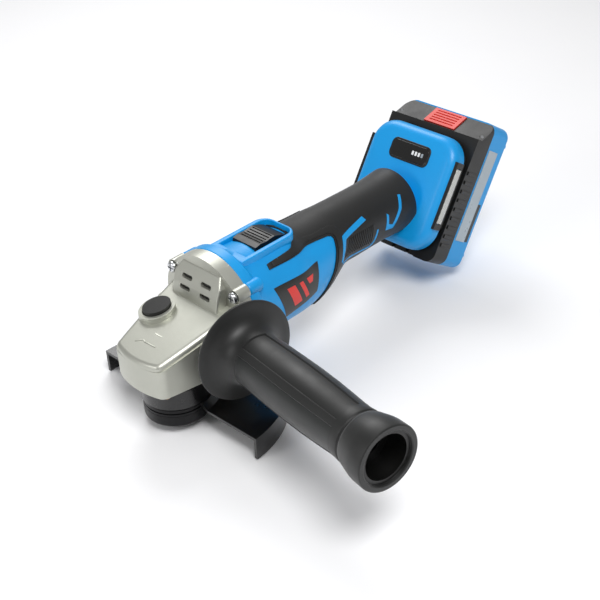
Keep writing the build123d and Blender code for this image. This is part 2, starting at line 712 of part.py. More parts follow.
def foot_block(y0, y1, w0, w1, u0, u1):
    """Box in the foot's frame."""
    middle = Pos((y0 + y1) / 2, (w0 + w1) / 2, (u0 + u1) / 2)
    return place(foot_frame(), middle * Box(y1 - y0, w1 - w0, u1 - u0))


def foot_disc(radius, y, w, u0, u1):
    """Cylinder across the foot's thickness."""
    return place(foot_frame(), Pos(y, w, (u0 + u1) / 2) * Cylinder(radius, u1 - u0))


def foot_outline(inset):
    points = [
        (FOOT_TOP_HALF - inset / 2, FOOT_W[1] - inset),
        (FOOT_HALF - 1.0 - inset, FOOT_W[1] - 11),
        (FOOT_HALF - inset, FOOT_W[1] - 24),
        (FOOT_HALF - inset, FOOT_W[0] + 21),
        (FOOT_HALF - 10 - inset / 2, FOOT_W[0] + inset),
    ]
    mirrored = [(-y, w) for y, w in reversed(points)]
    face = make_face(Polyline(*points, *mirrored, close=True))
    return fillet(face.vertices(), 6.0)


def foot_prism(inset, u0, u1):
    return place(foot_frame(), Pos(0, 0, u0) * extrude(foot_outline(inset), amount=u1 - u0))


def foot_solid():
    shape = extrude(foot_outline(0), amount=FOOT_U[1] - FOOT_U[0])
    shape = fillet(shape.faces().sort_by(Axis.Z)[0].edges(), 4.5)
    return place(foot_frame(), Pos(0, 0, FOOT_U[0]) * shape)


def barrel_loft(inset):
    """Barrel and grip as one smooth body, inset from its outer surface."""
    circles = [
        Pos(x, 0, z) * Rot(0, 90, 0) * Circle(radius - inset) for x, z, radius in SECTIONS
    ]
    return loft(circles, ruled=True)


def behind_foot(u):
    """Everything on the pack's side of a plane across the foot."""
    return foot_block(-80, 80, -150, 150, u, u + 150)


def skin_region():
    """Where the soft skin covers the grip and the barrel's shoulders."""
    region = block(SKIN_START, 230, -60, 60, 0, 120)
    region += block(SWITCH_RECESS[1] + 3, SKIN_START + 1, -60, 60, STRIP[2], 120)
    for side in (-1, 1):
        y0, y1 = sorted((side * STRIP[1], side * 60))
        region += block(STRIP[0], SKIN_START + 1, y0, y1, STRIP[2], 120)
    return region


def housing_outer():
    ring = disc_x(RING_R, HEAD_BACK_X + SEAT, RING_END, 0, BARREL_Z)
    ring = fillet(ring.edges().sort_by(Axis.X)[-1], 1.6)
    bosses = [
        disc_x(4.6, HEAD_BACK_X + SEAT, RING_END + 8, sy * FLANGE_SCREW_Y, BARREL_Z + sz * FLANGE_SCREW_Z)
        for sy in (-1, 1) for sz in (-1, 1)
    ]
    return ring + bosses + (barrel_loft(0) - behind_foot(FOOT_U[0] + 4)) + foot_solid()


def housing_inner():
    inner = disc_x(RING_R - 5.0, HEAD_BACK_X - 1, RING_END, 0, BARREL_Z)
    inner += barrel_loft(PLASTIC_WALL + SKIN) - behind_foot(FOOT_U[0] + 4)
    return inner + foot_prism(PLASTIC_WALL, FOOT_U[0] + PLASTIC_WALL, FOOT_U[1] + 1)


def switch_well():
    """Walls and floor under the slide switch."""
    well = block(
        SWITCH_RECESS[0] - 2, SWITCH_RECESS[1] + 2, -RECESS_HALF - 2, RECESS_HALF + 2,
        RECESS_FLOOR - 1.3, 95,
    )
    return well & barrel_loft(0)


def make_housing():
    skin = (barrel_loft(0) - barrel_loft(SKIN)) & skin_region()
    skin -= behind_foot(FOOT_U[0] + 0.2)
    bearing_seat = ring_x(REAR_BEARING[1] + 3, REAR_BEARING[1] + 0.01, REAR_BEARING[2], REAR_BEARING[3])
    bearing_seat += ring_x(
        REAR_BEARING[1] + 3, REAR_BEARING[0] + 2, REAR_BEARING[3], REAR_BEARING[3] + 1.6
    )
    webs = block(REAR_BEARING[2], REAR_BEARING[3] + 1.6, -40, 40, MOTOR_Z - 2, MOTOR_Z + 2)
    bearing_seat += (webs - disc_x(REAR_BEARING[1] + 2, 90, 120)) & barrel_loft(PLASTIC_WALL)
    stator_ribs = ring_x(40, STATOR_R + SEAT, STATOR[0] + 3, STATOR[0] + 5)
    stator_ribs += ring_x(40, STATOR_R + SEAT, STATOR[1] - 5, STATOR[1] - 3)
    stator_ribs &= barrel_loft(PLASTIC_WALL)
    shell = (housing_outer() - housing_inner()) + switch_well() + bearing_seat + stator_ribs
    shell += ring_x(RING_R - 5.5, 27.0, BAFFLE[0] + 0.1, BAFFLE[1] - 0.1) & barrel_loft(PLASTIC_WALL)
    shell -= skin
    shell -= block(
        SWITCH_RECESS[0], SWITCH_RECESS[1], -RECESS_HALF, RECESS_HALF, RECESS_FLOOR, 120
    )
    shell -= block(74.0, 92.5, -3.6, 3.6, 70, RECESS_FLOOR + 1)
    for sy in (-1, 1):
        for sz in (-1, 1):
            y = sy * FLANGE_SCREW_Y
            shell -= disc_x(2.05, HEAD_BACK_X - 1, HEAD_BACK_X + 13, y, BARREL_Z + sz * FLANGE_SCREW_Z)
    shell -= foot_block(-15.6, 15.6, 28.4, 40.8, FOOT_U[0] - 1, FOOT_U[0] + 3.4)
    for side in (-1, 1):
        y0, y1 = sorted((side * (FILTER_Y[0] - SEAT), side * 60))
        shell -= foot_block(
            y0, y1, FILTER_W[0] - SEAT, FILTER_W[1] + SEAT, FILTER_U[0] - SEAT, FILTER_U[1] + SEAT
        )
    screw_holes = [housing_screw(x, z, GAP / 3) for x, z in HOUSING_SCREWS]
    shell -= screw_holes
    skin -= screw_holes
    split = 0.05
    halves = {"left": block(0, 400, split, 90, -60, 200), "right": block(0, 400, -90, -split, -60, 200)}
    for name, half in halves.items():
        parts["housing_" + name] = shell & half
        parts["overmould_" + name] = skin & half
    parts["housing_screws"] = [housing_screw(x, z, 0) for x, z in HOUSING_SCREWS]


HOUSING_SCREWS = [(127.0, 44.5), (168.0, 47.0), (53.5, 30.5), (98.0, 32.0)]
SCREW_HEAD_R = 2.7


def housing_screw(x, z, grow):
    """Screw across the two halves, with its head sunk in the right half."""
    radius = HOUSING_DEPTH[(x, z)]
    screw = Pos(x, -radius + 1.1, z) * Rot(90, 0, 0) * Cylinder(SCREW_HEAD_R + grow, 2.2 + grow)
    middle = Pos(x, (6.0 - radius) / 2, z) * Rot(90, 0, 0)
    return screw + middle * Cylinder(1.4 + grow, radius + 6.0)


def local_half_width(x, z):
    """Half width of the barrel or grip at a station and height."""
    for first, second in zip(SECTIONS, SECTIONS[1:]):
        if first[0] <= x <= second[0]:
            share = (x - first[0]) / (second[0] - first[0])
            centre = first[1] + share * (second[1] - first[1])
            radius = first[2] + share * (second[2] - first[2])
            return math.sqrt(radius ** 2 - (z - centre) ** 2)
    return 0.0


HOUSING_DEPTH = {(x, z): local_half_width(x, z) - 1.0 for x, z in HOUSING_SCREWS}


# ---- Switch, electronics and foot fittings -------------------------------------------------
FILTER_U = (4.2, 11.8)
FILTER_W = (-8.0, 39.0)
FILTER_Y = (33.6, 37.4)


def make_slider():
    low = RECESS_FLOOR + GAP
    outline = [
        (SLIDER[0], low), (SLIDER[0] + 1.0, SLIDER_TOP - 0.8), (SLIDER[0] + 5, SLIDER_TOP),
        (SLIDER[0] + 10, SLIDER_TOP - 0.4), (SLIDER[0] + 17, SLIDER_TOP + 0.4),
        (SLIDER[1] - 4, SLIDER_TOP - 1.6), (SLIDER[1], low + 2.5), (SLIDER[1], low),
    ]
    face = make_face(Polyline(*[(x, -SLIDER_HALF, z) for x, z in outline], close=True))
    slider = extrude(face, amount=2 * SLIDER_HALF, dir=(0, 1, 0))
    for i in range(5):
        x = SLIDER[0] + 6 + 2.4 * i
        slider -= block(x, x + 0.9, -SLIDER_HALF + 1.5, SLIDER_HALF - 1.5, SLIDER_TOP - 0.9, 95)
    return slider + slider_stem(0)


def slider_stem(grow):
    """Post of the slider that goes down through the well's floor to the rod."""
    return block(87.8 - grow, 91.5 + grow, -3.0 - grow, 3.0 + grow, 76.9 - grow, RECESS_FLOOR + 1)


def make_switch_rod():
    bar = Pos(100.0, 0, 74.2) * Rot(0, ROD_SLOPE, 0) * Box(24, 6.0, 1.6)
    return bar - slider_stem(0.02)


def add_switch():
    parts["switch_slider"] = make_slider()
    parts["switch_rod"] = make_switch_rod()
    parts["switch_body"] = block(117.0, 141.0, -8.0, 8.0, 60.0, 70.5)
    parts["control_board"] = block(118.0, 176.0, -13.0, 13.0, 51.0, 54.0)


def add_foot_fittings():
    window = foot_block(-15.4, 15.4, 28.6, 40.6, FOOT_U[0] + 0.1, FOOT_U[0] + 3.2)
    window -= foot_disc(3.15, -8.0, 34.6, FOOT_U[0] - 1, FOOT_U[0] + 6)
    parts["display_window"] = window
    parts["display_button"] = foot_disc(2.9, -8.0, 34.6, FOOT_U[0] - 0.4, FOOT_U[0] + 2.2)
    for side, name in ((1, "left"), (-1, "right")):
        y0, y1 = sorted((side * FILTER_Y[0], side * FILTER_Y[1]))
        frame = foot_block(y0, y1, FILTER_W[0], FILTER_W[1], FILTER_U[0], FILTER_U[1])
        frame -= foot_block(-60, 60, FILTER_W[0] + 4, FILTER_W[1] - 4, FILTER_U[0] + 2, FILTER_U[1] - 2)
        parts["filter_frame_" + name] = frame
        m0, m1 = sorted((side * (FILTER_Y[0] + 1.6), side * (FILTER_Y[0] + 2.4)))
        parts["filter_mesh_" + name] = foot_block(
            m0, m1, FILTER_W[0] + 4, FILTER_W[1] - 4, FILTER_U[0] + 2, FILTER_U[1] - 2
        )
    parts["foot_rail"] = make_foot_rail()
    blades = [foot_block(y - 0.4, y + 0.4, 10, 28, 14, TONGUE_U + 2.8) for y in BLADE_Y]
    body = foot_block(-17, 17, 8, 30, 8.0, RAIL_U[0] - SEAT)
    parts["terminal_block"] = [body] + blades


TONGUE_U = 22.2
TONGUE_HALF = 21.0
TONGUE_LIP = 3.4
TONGUE_W = (-22.0, 44.0)
BLADE_Y = (-12.0, 0.0, 12.0)


def tongue(grow, w0, w1):
    """T-shaped tongue of the rail that the pack slides on."""
    half = TONGUE_HALF + grow
    shape = foot_block(-half, half, w0, w1, RAIL_U[1] - 1, TONGUE_U + grow)
    lip = half + TONGUE_LIP
    return shape + foot_block(-lip, lip, w0, w1, TONGUE_U - 2.4 - grow, TONGUE_U + grow)


def make_foot_rail():
    rail = foot_prism(0.8, RAIL_U[0], RAIL_U[1]) + tongue(0, TONGUE_W[0], TONGUE_W[1])
    for y in BLADE_Y:
        rail -= foot_block(y - 0.42, y + 0.42, 9.9, 28.1, 12, 30)
    return rail


# ---- Battery pack --------------------------------------------------------------------------
CELL_R = 9.0
CELL_PITCH = 18.9
CELL_LENGTH = 64.2
CELL_U = 43.9
PACK_SCREW_Y = 34.8
PACK_SCREW_W = (PACK_LOW_W + 11, PACK_TOP_W - 11)
BUTTON_HALF = 13.0
BUTTON_DEPTH = 3.6
BUTTON_WELL = 8.5           # room under the slanted face for the button and its spring
SLOPE_LOW = (21.8, PACK_TOP_W - 13.1)     # (u, w) ends of the slanted end face
SLOPE_HIGH = (34.2, PACK_TOP_W)


def pack_side(points, half):
    """Prism across the pack from an outline of (u, w) points."""
    plane = foot_frame()
    corners = [
        plane.from_local_coords(Vector(-half, w, u)) for u, w in points
    ]
    face = make_face(Polyline(*corners, close=True))
    return extrude(face, amount=2 * half, dir=(0, 1, 0))


def rounded_pack(inset, u0, u1, low_w, top_w, radius):
    sheet = RectangleRounded(PACK_WIDTH - 2 * inset, top_w - low_w - 2 * inset, radius)
    middle = Pos(0, (low_w + top_w) / 2, u0)
    return place(foot_frame(), middle * extrude(sheet, amount=u1 - u0))


def slope_cut():
    """Space above the slanted end face."""
    points = [
        SLOPE_LOW, SLOPE_HIGH, (SLOPE_HIGH[0], PACK_TOP_W + 20),
        (0, PACK_TOP_W + 20), (0, SLOPE_LOW[1]),
    ]
    return pack_side(points, 60)


def slope_vectors():
    """Unit vectors along the slanted face and out of it, as (u, w)."""
    du = SLOPE_HIGH[0] - SLOPE_LOW[0]
    dw = SLOPE_HIGH[1] - SLOPE_LOW[1]
    length = math.hypot(du, dw)
    return (du / length, dw / length), (-dw / length, du / length)


def button_prism(half, along0, along1, out0, out1):
    """Prism on the slanted face, between two stations along it and two heights out of it."""
    along, out = slope_vectors()
    points = []
    for a, h in ((along0, out0), (along1, out0), (along1, out1), (along0, out1)):
        u = SLOPE_LOW[0] + along[0] * a + out[0] * h
        w = SLOPE_LOW[1] + along[1] * a + out[1] * h
        points.append((u, w))
    return pack_side(points, half)


def make_pack_upper():
    shell = rounded_pack(0, PACK_U[0], PACK_U[1], PACK_LOW_W, PACK_TOP_W, 7.0)
    shell -= slope_cut()
    shell -= rounded_pack(2.2, PACK_U[0] + 11.5, PACK_U[1] + 1, PACK_LOW_W, PACK_TOP_W - 16, 5.0)
    shell -= tongue(GAP, PACK_LOW_W - 5, TONGUE_W[1] + 0.8)
    for y in BLADE_Y:
        shell -= foot_block(y - 1.2, y + 1.2, PACK_LOW_W - 5, 30, TONGUE_U - 1, TONGUE_U + 3.6)
    shell -= button_prism(BUTTON_HALF + GAP, 0.6, 16.4, -BUTTON_WELL, 20)
    shell -= [foot_disc(1.55, y, w, PACK_U[1] - 10, 60) for y, w in pack_screw_places()]
    return shell


def make_release_button():
    button = button_prism(BUTTON_HALF, 1.0, 16.0, -BUTTON_DEPTH, 0.9)
    for i in range(5):
        a = 3.2 + 2.5 * i
        button -= button_prism(BUTTON_HALF - 3.0, a, a + 1.1, 0.3, 2)
    return button


def pack_screw_places():
    return [(sy * PACK_SCREW_Y, w) for sy in (-1, 1) for w in PACK_SCREW_W]


def make_pack_tray():
    tray = rounded_pack(0, PACK_U[1] + 0.06, TRAY_END_U, PACK_LOW_W, PACK_TOP_W, 7.0)
    bottom = tray.faces().sort_by(foot_axis())[-1]
    tray = fillet(bottom.edges(), 3.0)
    tray -= rounded_pack(2.0, PACK_U[1] - 1, TRAY_END_U - 2.0, PACK_LOW_W, PACK_TOP_W, 5.0)
    for y, w in pack_screw_places():
        tray += foot_disc(2.5, y, w, PACK_U[1] + 0.06, TRAY_END_U - 1)
        tray -= foot_disc(1.55, y, w, PACK_U[1] - 1, 60)
        tray -= foot_disc(2.25, y, w, TRAY_END_U - 3.2, 60)
    ribs = 6
    for i in range(ribs):
        w = PACK_LOW_W + 16 + i * (PACK_LENGTH - 32) / (ribs - 1)
        tray -= foot_block(-60, 60, w - 2.6, w + 2.6, TRAY_END_U - 0.9, 60)
    return tray


def foot_axis():
    return Axis((200, 0, BARREL_Z), foot_frame().z_dir)


def pack_screw(y, w):
    screw = foot_disc(2.2, y, w, TRAY_END_U - 3.15, TRAY_END_U - 1.2)
    screw -= foot_disc(1.0, y, w, TRAY_END_U - 2.2, TRAY_END_U)
    return screw + foot_disc(1.5, y, w, PACK_U[1] - 9, TRAY_END_U - 3.0)


def cell_places():
    middle = (PACK_LOW_W + PACK_TOP_W) / 2
    return [middle + (i - 2) * CELL_PITCH for i in range(5)]


def cell(radius, length, w):
    turned = Pos(0, w, CELL_U) * Rot(0, 90, 0) * Cylinder(radius, length)
    return place(foot_frame(), turned)


def add_battery():
    parts["pack_upper_shell"] = make_pack_upper()
    parts["pack_tray"] = make_pack_tray()
    parts["release_button"] = make_release_button()
    parts["release_spring"] = button_prism(3.0, 3.5, 8.5, 0.2 - BUTTON_WELL, -BUTTON_DEPTH - 0.2)
    parts["pack_screws"] = [pack_screw(y, w) for y, w in pack_screw_places()]
    cells = [cell(CELL_R, CELL_LENGTH, w) for w in cell_places()]
    parts["cells"] = cells
    holders = []
    for side in (-1, 1):
        y0, y1 = sorted((side * 24.0, side * 27.0))
        plate = foot_block(y0, y1, PACK_LOW_W + 2.6, PACK_TOP_W - 2.6, CELL_U - 10.1, CELL_U + 9.2)
        holders.append(plate - [cell(CELL_R + 0.05, 90, w) for w in cell_places()])
    parts["cell_holders"] = holders
    labels = []
    for side in (-1, 1):
        y0, y1 = sorted((side * (PACK_WIDTH / 2 + 0.02), side * (PACK_WIDTH / 2 + 0.4)))
        labels.append(foot_block(y0, y1, -11, 54, PACK_U[1] + 1.5, PACK_U[1] + 13))
    parts["pack_labels"] = labels


# ---- Side handle ---------------------------------------------------------------------------
HANDLE_START = SOCKET_OUT + 0.4
HANDLE_FLANGE_T = 44.4
HANDLE_END_T = HANDLE_FLANGE_T + HANDLE_LENGTH
MOUTH_R = 15.6
MOUTH_DEPTH = 19.0
CORE_START = HANDLE_START + 9.0
CORE_R = 10.5


def handle_disc(radius, start, end):
    return handle_socket(-1, radius, start, end)


def handle_turned(points):
    """Solid of revolution about the side handle's axis from (radius, distance) points."""
    face = make_face(Polyline(*[(r, 0, t) for r, t in points], close=True))
    return place(handle_place(-1), revolve(face, Axis.Z))


def make_handle_grip():
    t = HANDLE_FLANGE_T
    end = HANDLE_END_T
    outline = [
        (0, HANDLE_START), (7.4, HANDLE_START), (7.4, t - 8.4), (13, t - 7), (17, t - 4.5),
        (HANDLE_FLANGE_R - 1.2, t - 1.8), (HANDLE_FLANGE_R, t - 0.8), (HANDLE_FLANGE_R, t + 1.0),
        (HANDLE_FLANGE_R - 1.5, t + 1.6), (25, t + 1.2), (20.5, t + 4.5), (17.8, t + 10),
        (16.8, t + 18), (17.2, t + 40), (16.8, t + 75), (15.6, end - 27), (15.2, end - 22),
        (17.0, end - 20), (18.0, end - 12), (19.2, end - 8), (19.5, end - 1), (18.8, end),
        (0, end),
    ]
    grip = handle_turned(outline)
    grip -= handle_disc(STUD_R + 0.3, HANDLE_START - 1, CORE_START + 1)
    grip -= handle_disc(CORE_R + 0.05, CORE_START, end - MOUTH_DEPTH + 0.1)
    return grip - handle_disc(MOUTH_R + 0.05, end - MOUTH_DEPTH, end + 1)


def add_side_handle():
    end = HANDLE_END_T
    parts["handle_grip"] = make_handle_grip()
    core = handle_disc(CORE_R, CORE_START + 0.1, end - MOUTH_DEPTH + 0.1)
    core += handle_disc(MOUTH_R, end - MOUTH_DEPTH + 0.1, end - 2)
    core -= handle_disc(MOUTH_R - 2.2, end - MOUTH_DEPTH + 2, end)
    core -= handle_disc(8.0, HANDLE_START + 46, end)
    core -= handle_disc(STUD_R + 0.02, HANDLE_START - 1, HANDLE_START + 30)
    core -= handle_disc(7.0, HANDLE_START + 22, HANDLE_START + 47)
    parts["handle_core"] = core
    stud = handle_disc(STUD_R, SOCKET_OUT - SOCKET_DEPTH + 2.0, HANDLE_START + 22.2)
    parts["handle_stud"] = stud + handle_disc(6.9, HANDLE_START + 22.1, HANDLE_START + 28)


def add_labels():
    skin = barrel_loft(-0.4) - barrel_loft(-0.02)
    parts["side_labels"] = [
        skin & block(66, 102, *sorted((side * 20, side * 40)), 46, 67) for side in (-1, 1)
    ]


def write_parts():
    os.makedirs("parts", exist_ok=True)
    for name, shape in parts.items():
        solids = []
        for piece in (shape if isinstance(shape, list) else [shape]):
            solids.extend(piece.solids())
        whole = solids[0] if len(solids) == 1 else Compound(children=solids)
        export_step(whole, "parts/" + name + ".step")


add_spindle_group()
add_gear_head()
add_guard()
add_motor()
make_housing()
add_switch()
add_foot_fittings()
add_battery()
add_side_handle()
add_labels()
write_parts()
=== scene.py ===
import logging
import math
from dataclasses import dataclass
from enum import Enum
from typing import Callable, Sequence

import bmesh
import bpy
from mathutils import Matrix, Vector


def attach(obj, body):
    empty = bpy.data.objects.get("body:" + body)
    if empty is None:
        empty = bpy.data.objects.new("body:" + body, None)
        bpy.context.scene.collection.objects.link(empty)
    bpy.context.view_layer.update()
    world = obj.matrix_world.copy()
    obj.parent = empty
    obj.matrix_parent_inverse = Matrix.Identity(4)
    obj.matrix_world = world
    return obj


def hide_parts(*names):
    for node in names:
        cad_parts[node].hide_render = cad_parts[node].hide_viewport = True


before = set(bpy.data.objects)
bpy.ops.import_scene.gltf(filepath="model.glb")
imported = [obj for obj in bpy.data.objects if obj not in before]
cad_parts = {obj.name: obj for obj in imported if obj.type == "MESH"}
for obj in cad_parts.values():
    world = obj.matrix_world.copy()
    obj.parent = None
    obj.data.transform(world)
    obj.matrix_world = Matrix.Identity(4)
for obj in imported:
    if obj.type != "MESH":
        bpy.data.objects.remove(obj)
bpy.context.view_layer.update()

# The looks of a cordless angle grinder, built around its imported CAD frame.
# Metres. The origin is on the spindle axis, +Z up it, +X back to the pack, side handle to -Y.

logging.basicConfig(level=logging.INFO, format="%(message)s")
log = logging.getLogger("grinder")
MM = 0.001                         # one millimetre in metres
SMOOTH_ANGLE = math.radians(38)    # edges sharper than this stay sharp
RIM_ANGLE = math.radians(50)       # edges sharper than this get a rounded rim
MERGE_M = 0.00001                  # points closer than this become one


# ---- Finishes ------------------------------------------------------------------------------
BROAD_GRAINS = 6      # a casting's broad relief is this many times as wide as its grit
BROAD_SHARE = 0.8     # and this many times as high
WAVE_PITCH = 0.3      # a wave texture's scale for one ring or band in each grain
PLASTIC_IOR = 1.5


class Pattern(Enum):
    """How a surface was made, which sets the relief its material draws."""

    MOULDED = "moulded"
    CAST = "cast"
    PAINTED = "painted"
    TURNED = "turned"
    WOVEN = "woven"
    STACKED = "stacked"
    WOUND = "wound"
    PLAIN = "plain"


def linear(code: str) -> tuple[float, float, float, float]:
    """Turns an sRGB hex colour into linear light.

    Args:
        code: Six hex digits, such as "0A9BE8".

    Returns:
        Red, green, blue and alpha, each from 0 to 1.
    """
    parts = [int(code[i:i + 2], 16) / 255 for i in (0, 2, 4)]
    light = [c / 12.92 if c <= 0.04045 else ((c + 0.055) / 1.055) ** 2.4 for c in parts]
    return (light[0], light[1], light[2], 1.0)


def add_node(tree: bpy.types.NodeTree, kind: str, settings: dict | None = None,
             inputs: dict | None = None) -> bpy.types.Node:
    """Adds a node with its settings, values and links.

    Args:
        tree: The node tree that gets the node.
        kind: The node's type name.
        settings: Properties of the node itself.
        inputs: Socket name or number to a value, or to the socket that feeds it.

    Returns:
        The new node.
    """
    node = tree.nodes.new(kind)
    for name, value in (settings or {}).items():
        setattr(node, name, value)
    for name, value in (inputs or {}).items():
        if isinstance(value, bpy.types.NodeSocket):
            tree.links.new(value, node.inputs[name])
        else:
            node.inputs[name].default_value = value
    return node


@dataclass(frozen=True)
class Finish:
    """One real material with its surface.

    Attributes:
        name: The material's name.
        tone: Its main colour, sRGB hex.
        tone_2: The colour it drifts to in patches.
        metallic: 1 for bare metal.
        rough: Lowest roughness.
        rough_2: Highest roughness.
        grain_mm: Size of the surface's finest relief.
        relief_mm: Height of that relief.
        patch_mm: Size of the patches of colour and gloss.
        pattern: How the surface was made.
        coat: Weight of a clear coat.
        sheen: Weight of the soft sheen of rubber.
        axis: Axis of a turned or stacked pattern, 0 to 2.
        centre_mm: A point on that axis.
    """

    name: str
    tone: str
    tone_2: str
    metallic: float = 0.0
    rough: float = 0.4
    rough_2: float = 0.5
    grain_mm: float = 0.5
    relief_mm: float = 0.02
    patch_mm: float = 25.0
    pattern: Pattern = Pattern.MOULDED
    coat: float = 0.0
    sheen: float = 0.0
    axis: int = 2
    centre_mm: tuple[float, float, float] = (0.0, 0.0, 0.0)

    def relief(self, tree: bpy.types.NodeTree, place: bpy.types.NodeSocket) -> bpy.types.NodeSocket:
        """Draws the height field of the pattern.

        Args:
            tree: The material's tree.
            place: Object coordinates.

        Returns:
            The socket with the height.
        """
        fine = add_node(tree, "ShaderNodeTexNoise", {"noise_dimensions": "3D"},
                        {"Vector": place, "Scale": 1 / (self.grain_mm * MM), "Detail": 2.0,
                         "Roughness": 0.55})
        if self.pattern in (Pattern.MOULDED, Pattern.PAINTED, Pattern.PLAIN):
            return fine.outputs["Fac"]
        if self.pattern is Pattern.CAST:
            broad = add_node(tree, "ShaderNodeTexNoise", {"noise_dimensions": "3D"},
                             {"Vector": place, "Scale": 1 / (BROAD_GRAINS * self.grain_mm * MM),
                              "Detail": 1.0})
            both = add_node(tree, "ShaderNodeMath", {"operation": "MULTIPLY_ADD"},
                            {0: broad.outputs["Fac"], 1: BROAD_SHARE, 2: fine.outputs["Fac"]})
            return both.outputs[0]
        moved = add_node(tree, "ShaderNodeMapping", {"vector_type": "POINT"},
                         {"Vector": place,
                          "Location": tuple(-c * MM for c in self.centre_mm)})
        letter = "XYZ"[self.axis]
        if self.pattern is Pattern.TURNED:
            wave = add_node(tree, "ShaderNodeTexWave",
                            {"wave_type": "RINGS", "rings_direction": letter,
                             "wave_profile": "SIN"},
                            {"Vector": moved.outputs[0], "Scale": WAVE_PITCH / (self.grain_mm * MM),
                             "Distortion": 0.4, "Detail": 1.0})
            return wave.outputs["Fac"]
        if self.pattern is Pattern.WOVEN:
            heights = []
            for turn in (math.pi / 4, -math.pi / 4):
                turned = add_node(tree, "ShaderNodeMapping", {"vector_type": "POINT"},
                                  {"Vector": moved.outputs[0], "Rotation": (0.0, turn, 0.0)})
                wave = add_node(tree, "ShaderNodeTexWave",
                                {"wave_type": "BANDS", "bands_direction": "X"},
                                {"Vector": turned.outputs[0],
                                 "Scale": WAVE_PITCH / (self.grain_mm * MM)})
                heights.append(wave.outputs["Fac"])
            return add_node(tree, "ShaderNodeMath", {"operation": "MAXIMUM"},
                            {0: heights[0], 1: heights[1]}).outputs[0]
        wave = add_node(tree, "ShaderNodeTexWave",
                        {"wave_type": "BANDS", "bands_direction": letter},
                        {"Vector": moved.outputs[0], "Scale": WAVE_PITCH / (self.grain_mm * MM),
                         "Distortion": 0.6 if self.pattern is Pattern.WOUND else 0.0})
        return wave.outputs["Fac"]

    def build(self) -> bpy.types.Material:
        """Makes the procedural material.

        Returns:
            The material, made once and shared.
        """
        found = bpy.data.materials.get(self.name)
        if found is not None:
            return found
        material = bpy.data.materials.new(self.name)
        material.use_nodes = True
        tree = material.node_tree
        tree.nodes.clear()
        place = add_node(tree, "ShaderNodeTexCoord").outputs["Object"]
        patch = add_node(tree, "ShaderNodeTexNoise", {"noise_dimensions": "3D"},
                         {"Vector": place, "Scale": 1 / (self.patch_mm * MM), "Detail": 4.0,
                          "Roughness": 0.6})
        height = self.relief(tree, place)
        share = patch.outputs["Fac"]
        if self.pattern in (Pattern.WOVEN, Pattern.STACKED, Pattern.WOUND):
            share = height
        tone = add_node(tree, "ShaderNodeMix", {"data_type": "RGBA"}, {0: share})
        tone.inputs[6].default_value = linear(self.tone)
        tone.inputs[7].default_value = linear(self.tone_2)
        rough = add_node(tree, "ShaderNodeMapRange", {},
                         {"Value": patch.outputs["Fac"], "From Min": 0.3, "From Max": 0.7,
                          "To Min": self.rough, "To Max": self.rough_2})
        bump = add_node(tree, "ShaderNodeBump", {},
                        {"Height": height, "Strength": 1.0, "Distance": self.relief_mm * MM})
        shader = add_node(tree, "ShaderNodeBsdfPrincipled", {},
                          {"Base Color": tone.outputs[2], "Roughness": rough.outputs[0],
                           "Normal": bump.outputs[0], "Metallic": self.metallic,
                           "Coat Weight": self.coat, "Coat Roughness": 0.12,
                           "Sheen Weight": self.sheen, "Sheen Roughness": 0.45})
        if self.metallic < 0.5:
            shader.inputs["IOR"].default_value = PLASTIC_IOR
        add_node(tree, "ShaderNodeOutputMaterial", {}, {"Surface": shader.outputs[0]})
        material.diffuse_color = linear(self.tone)
        return material


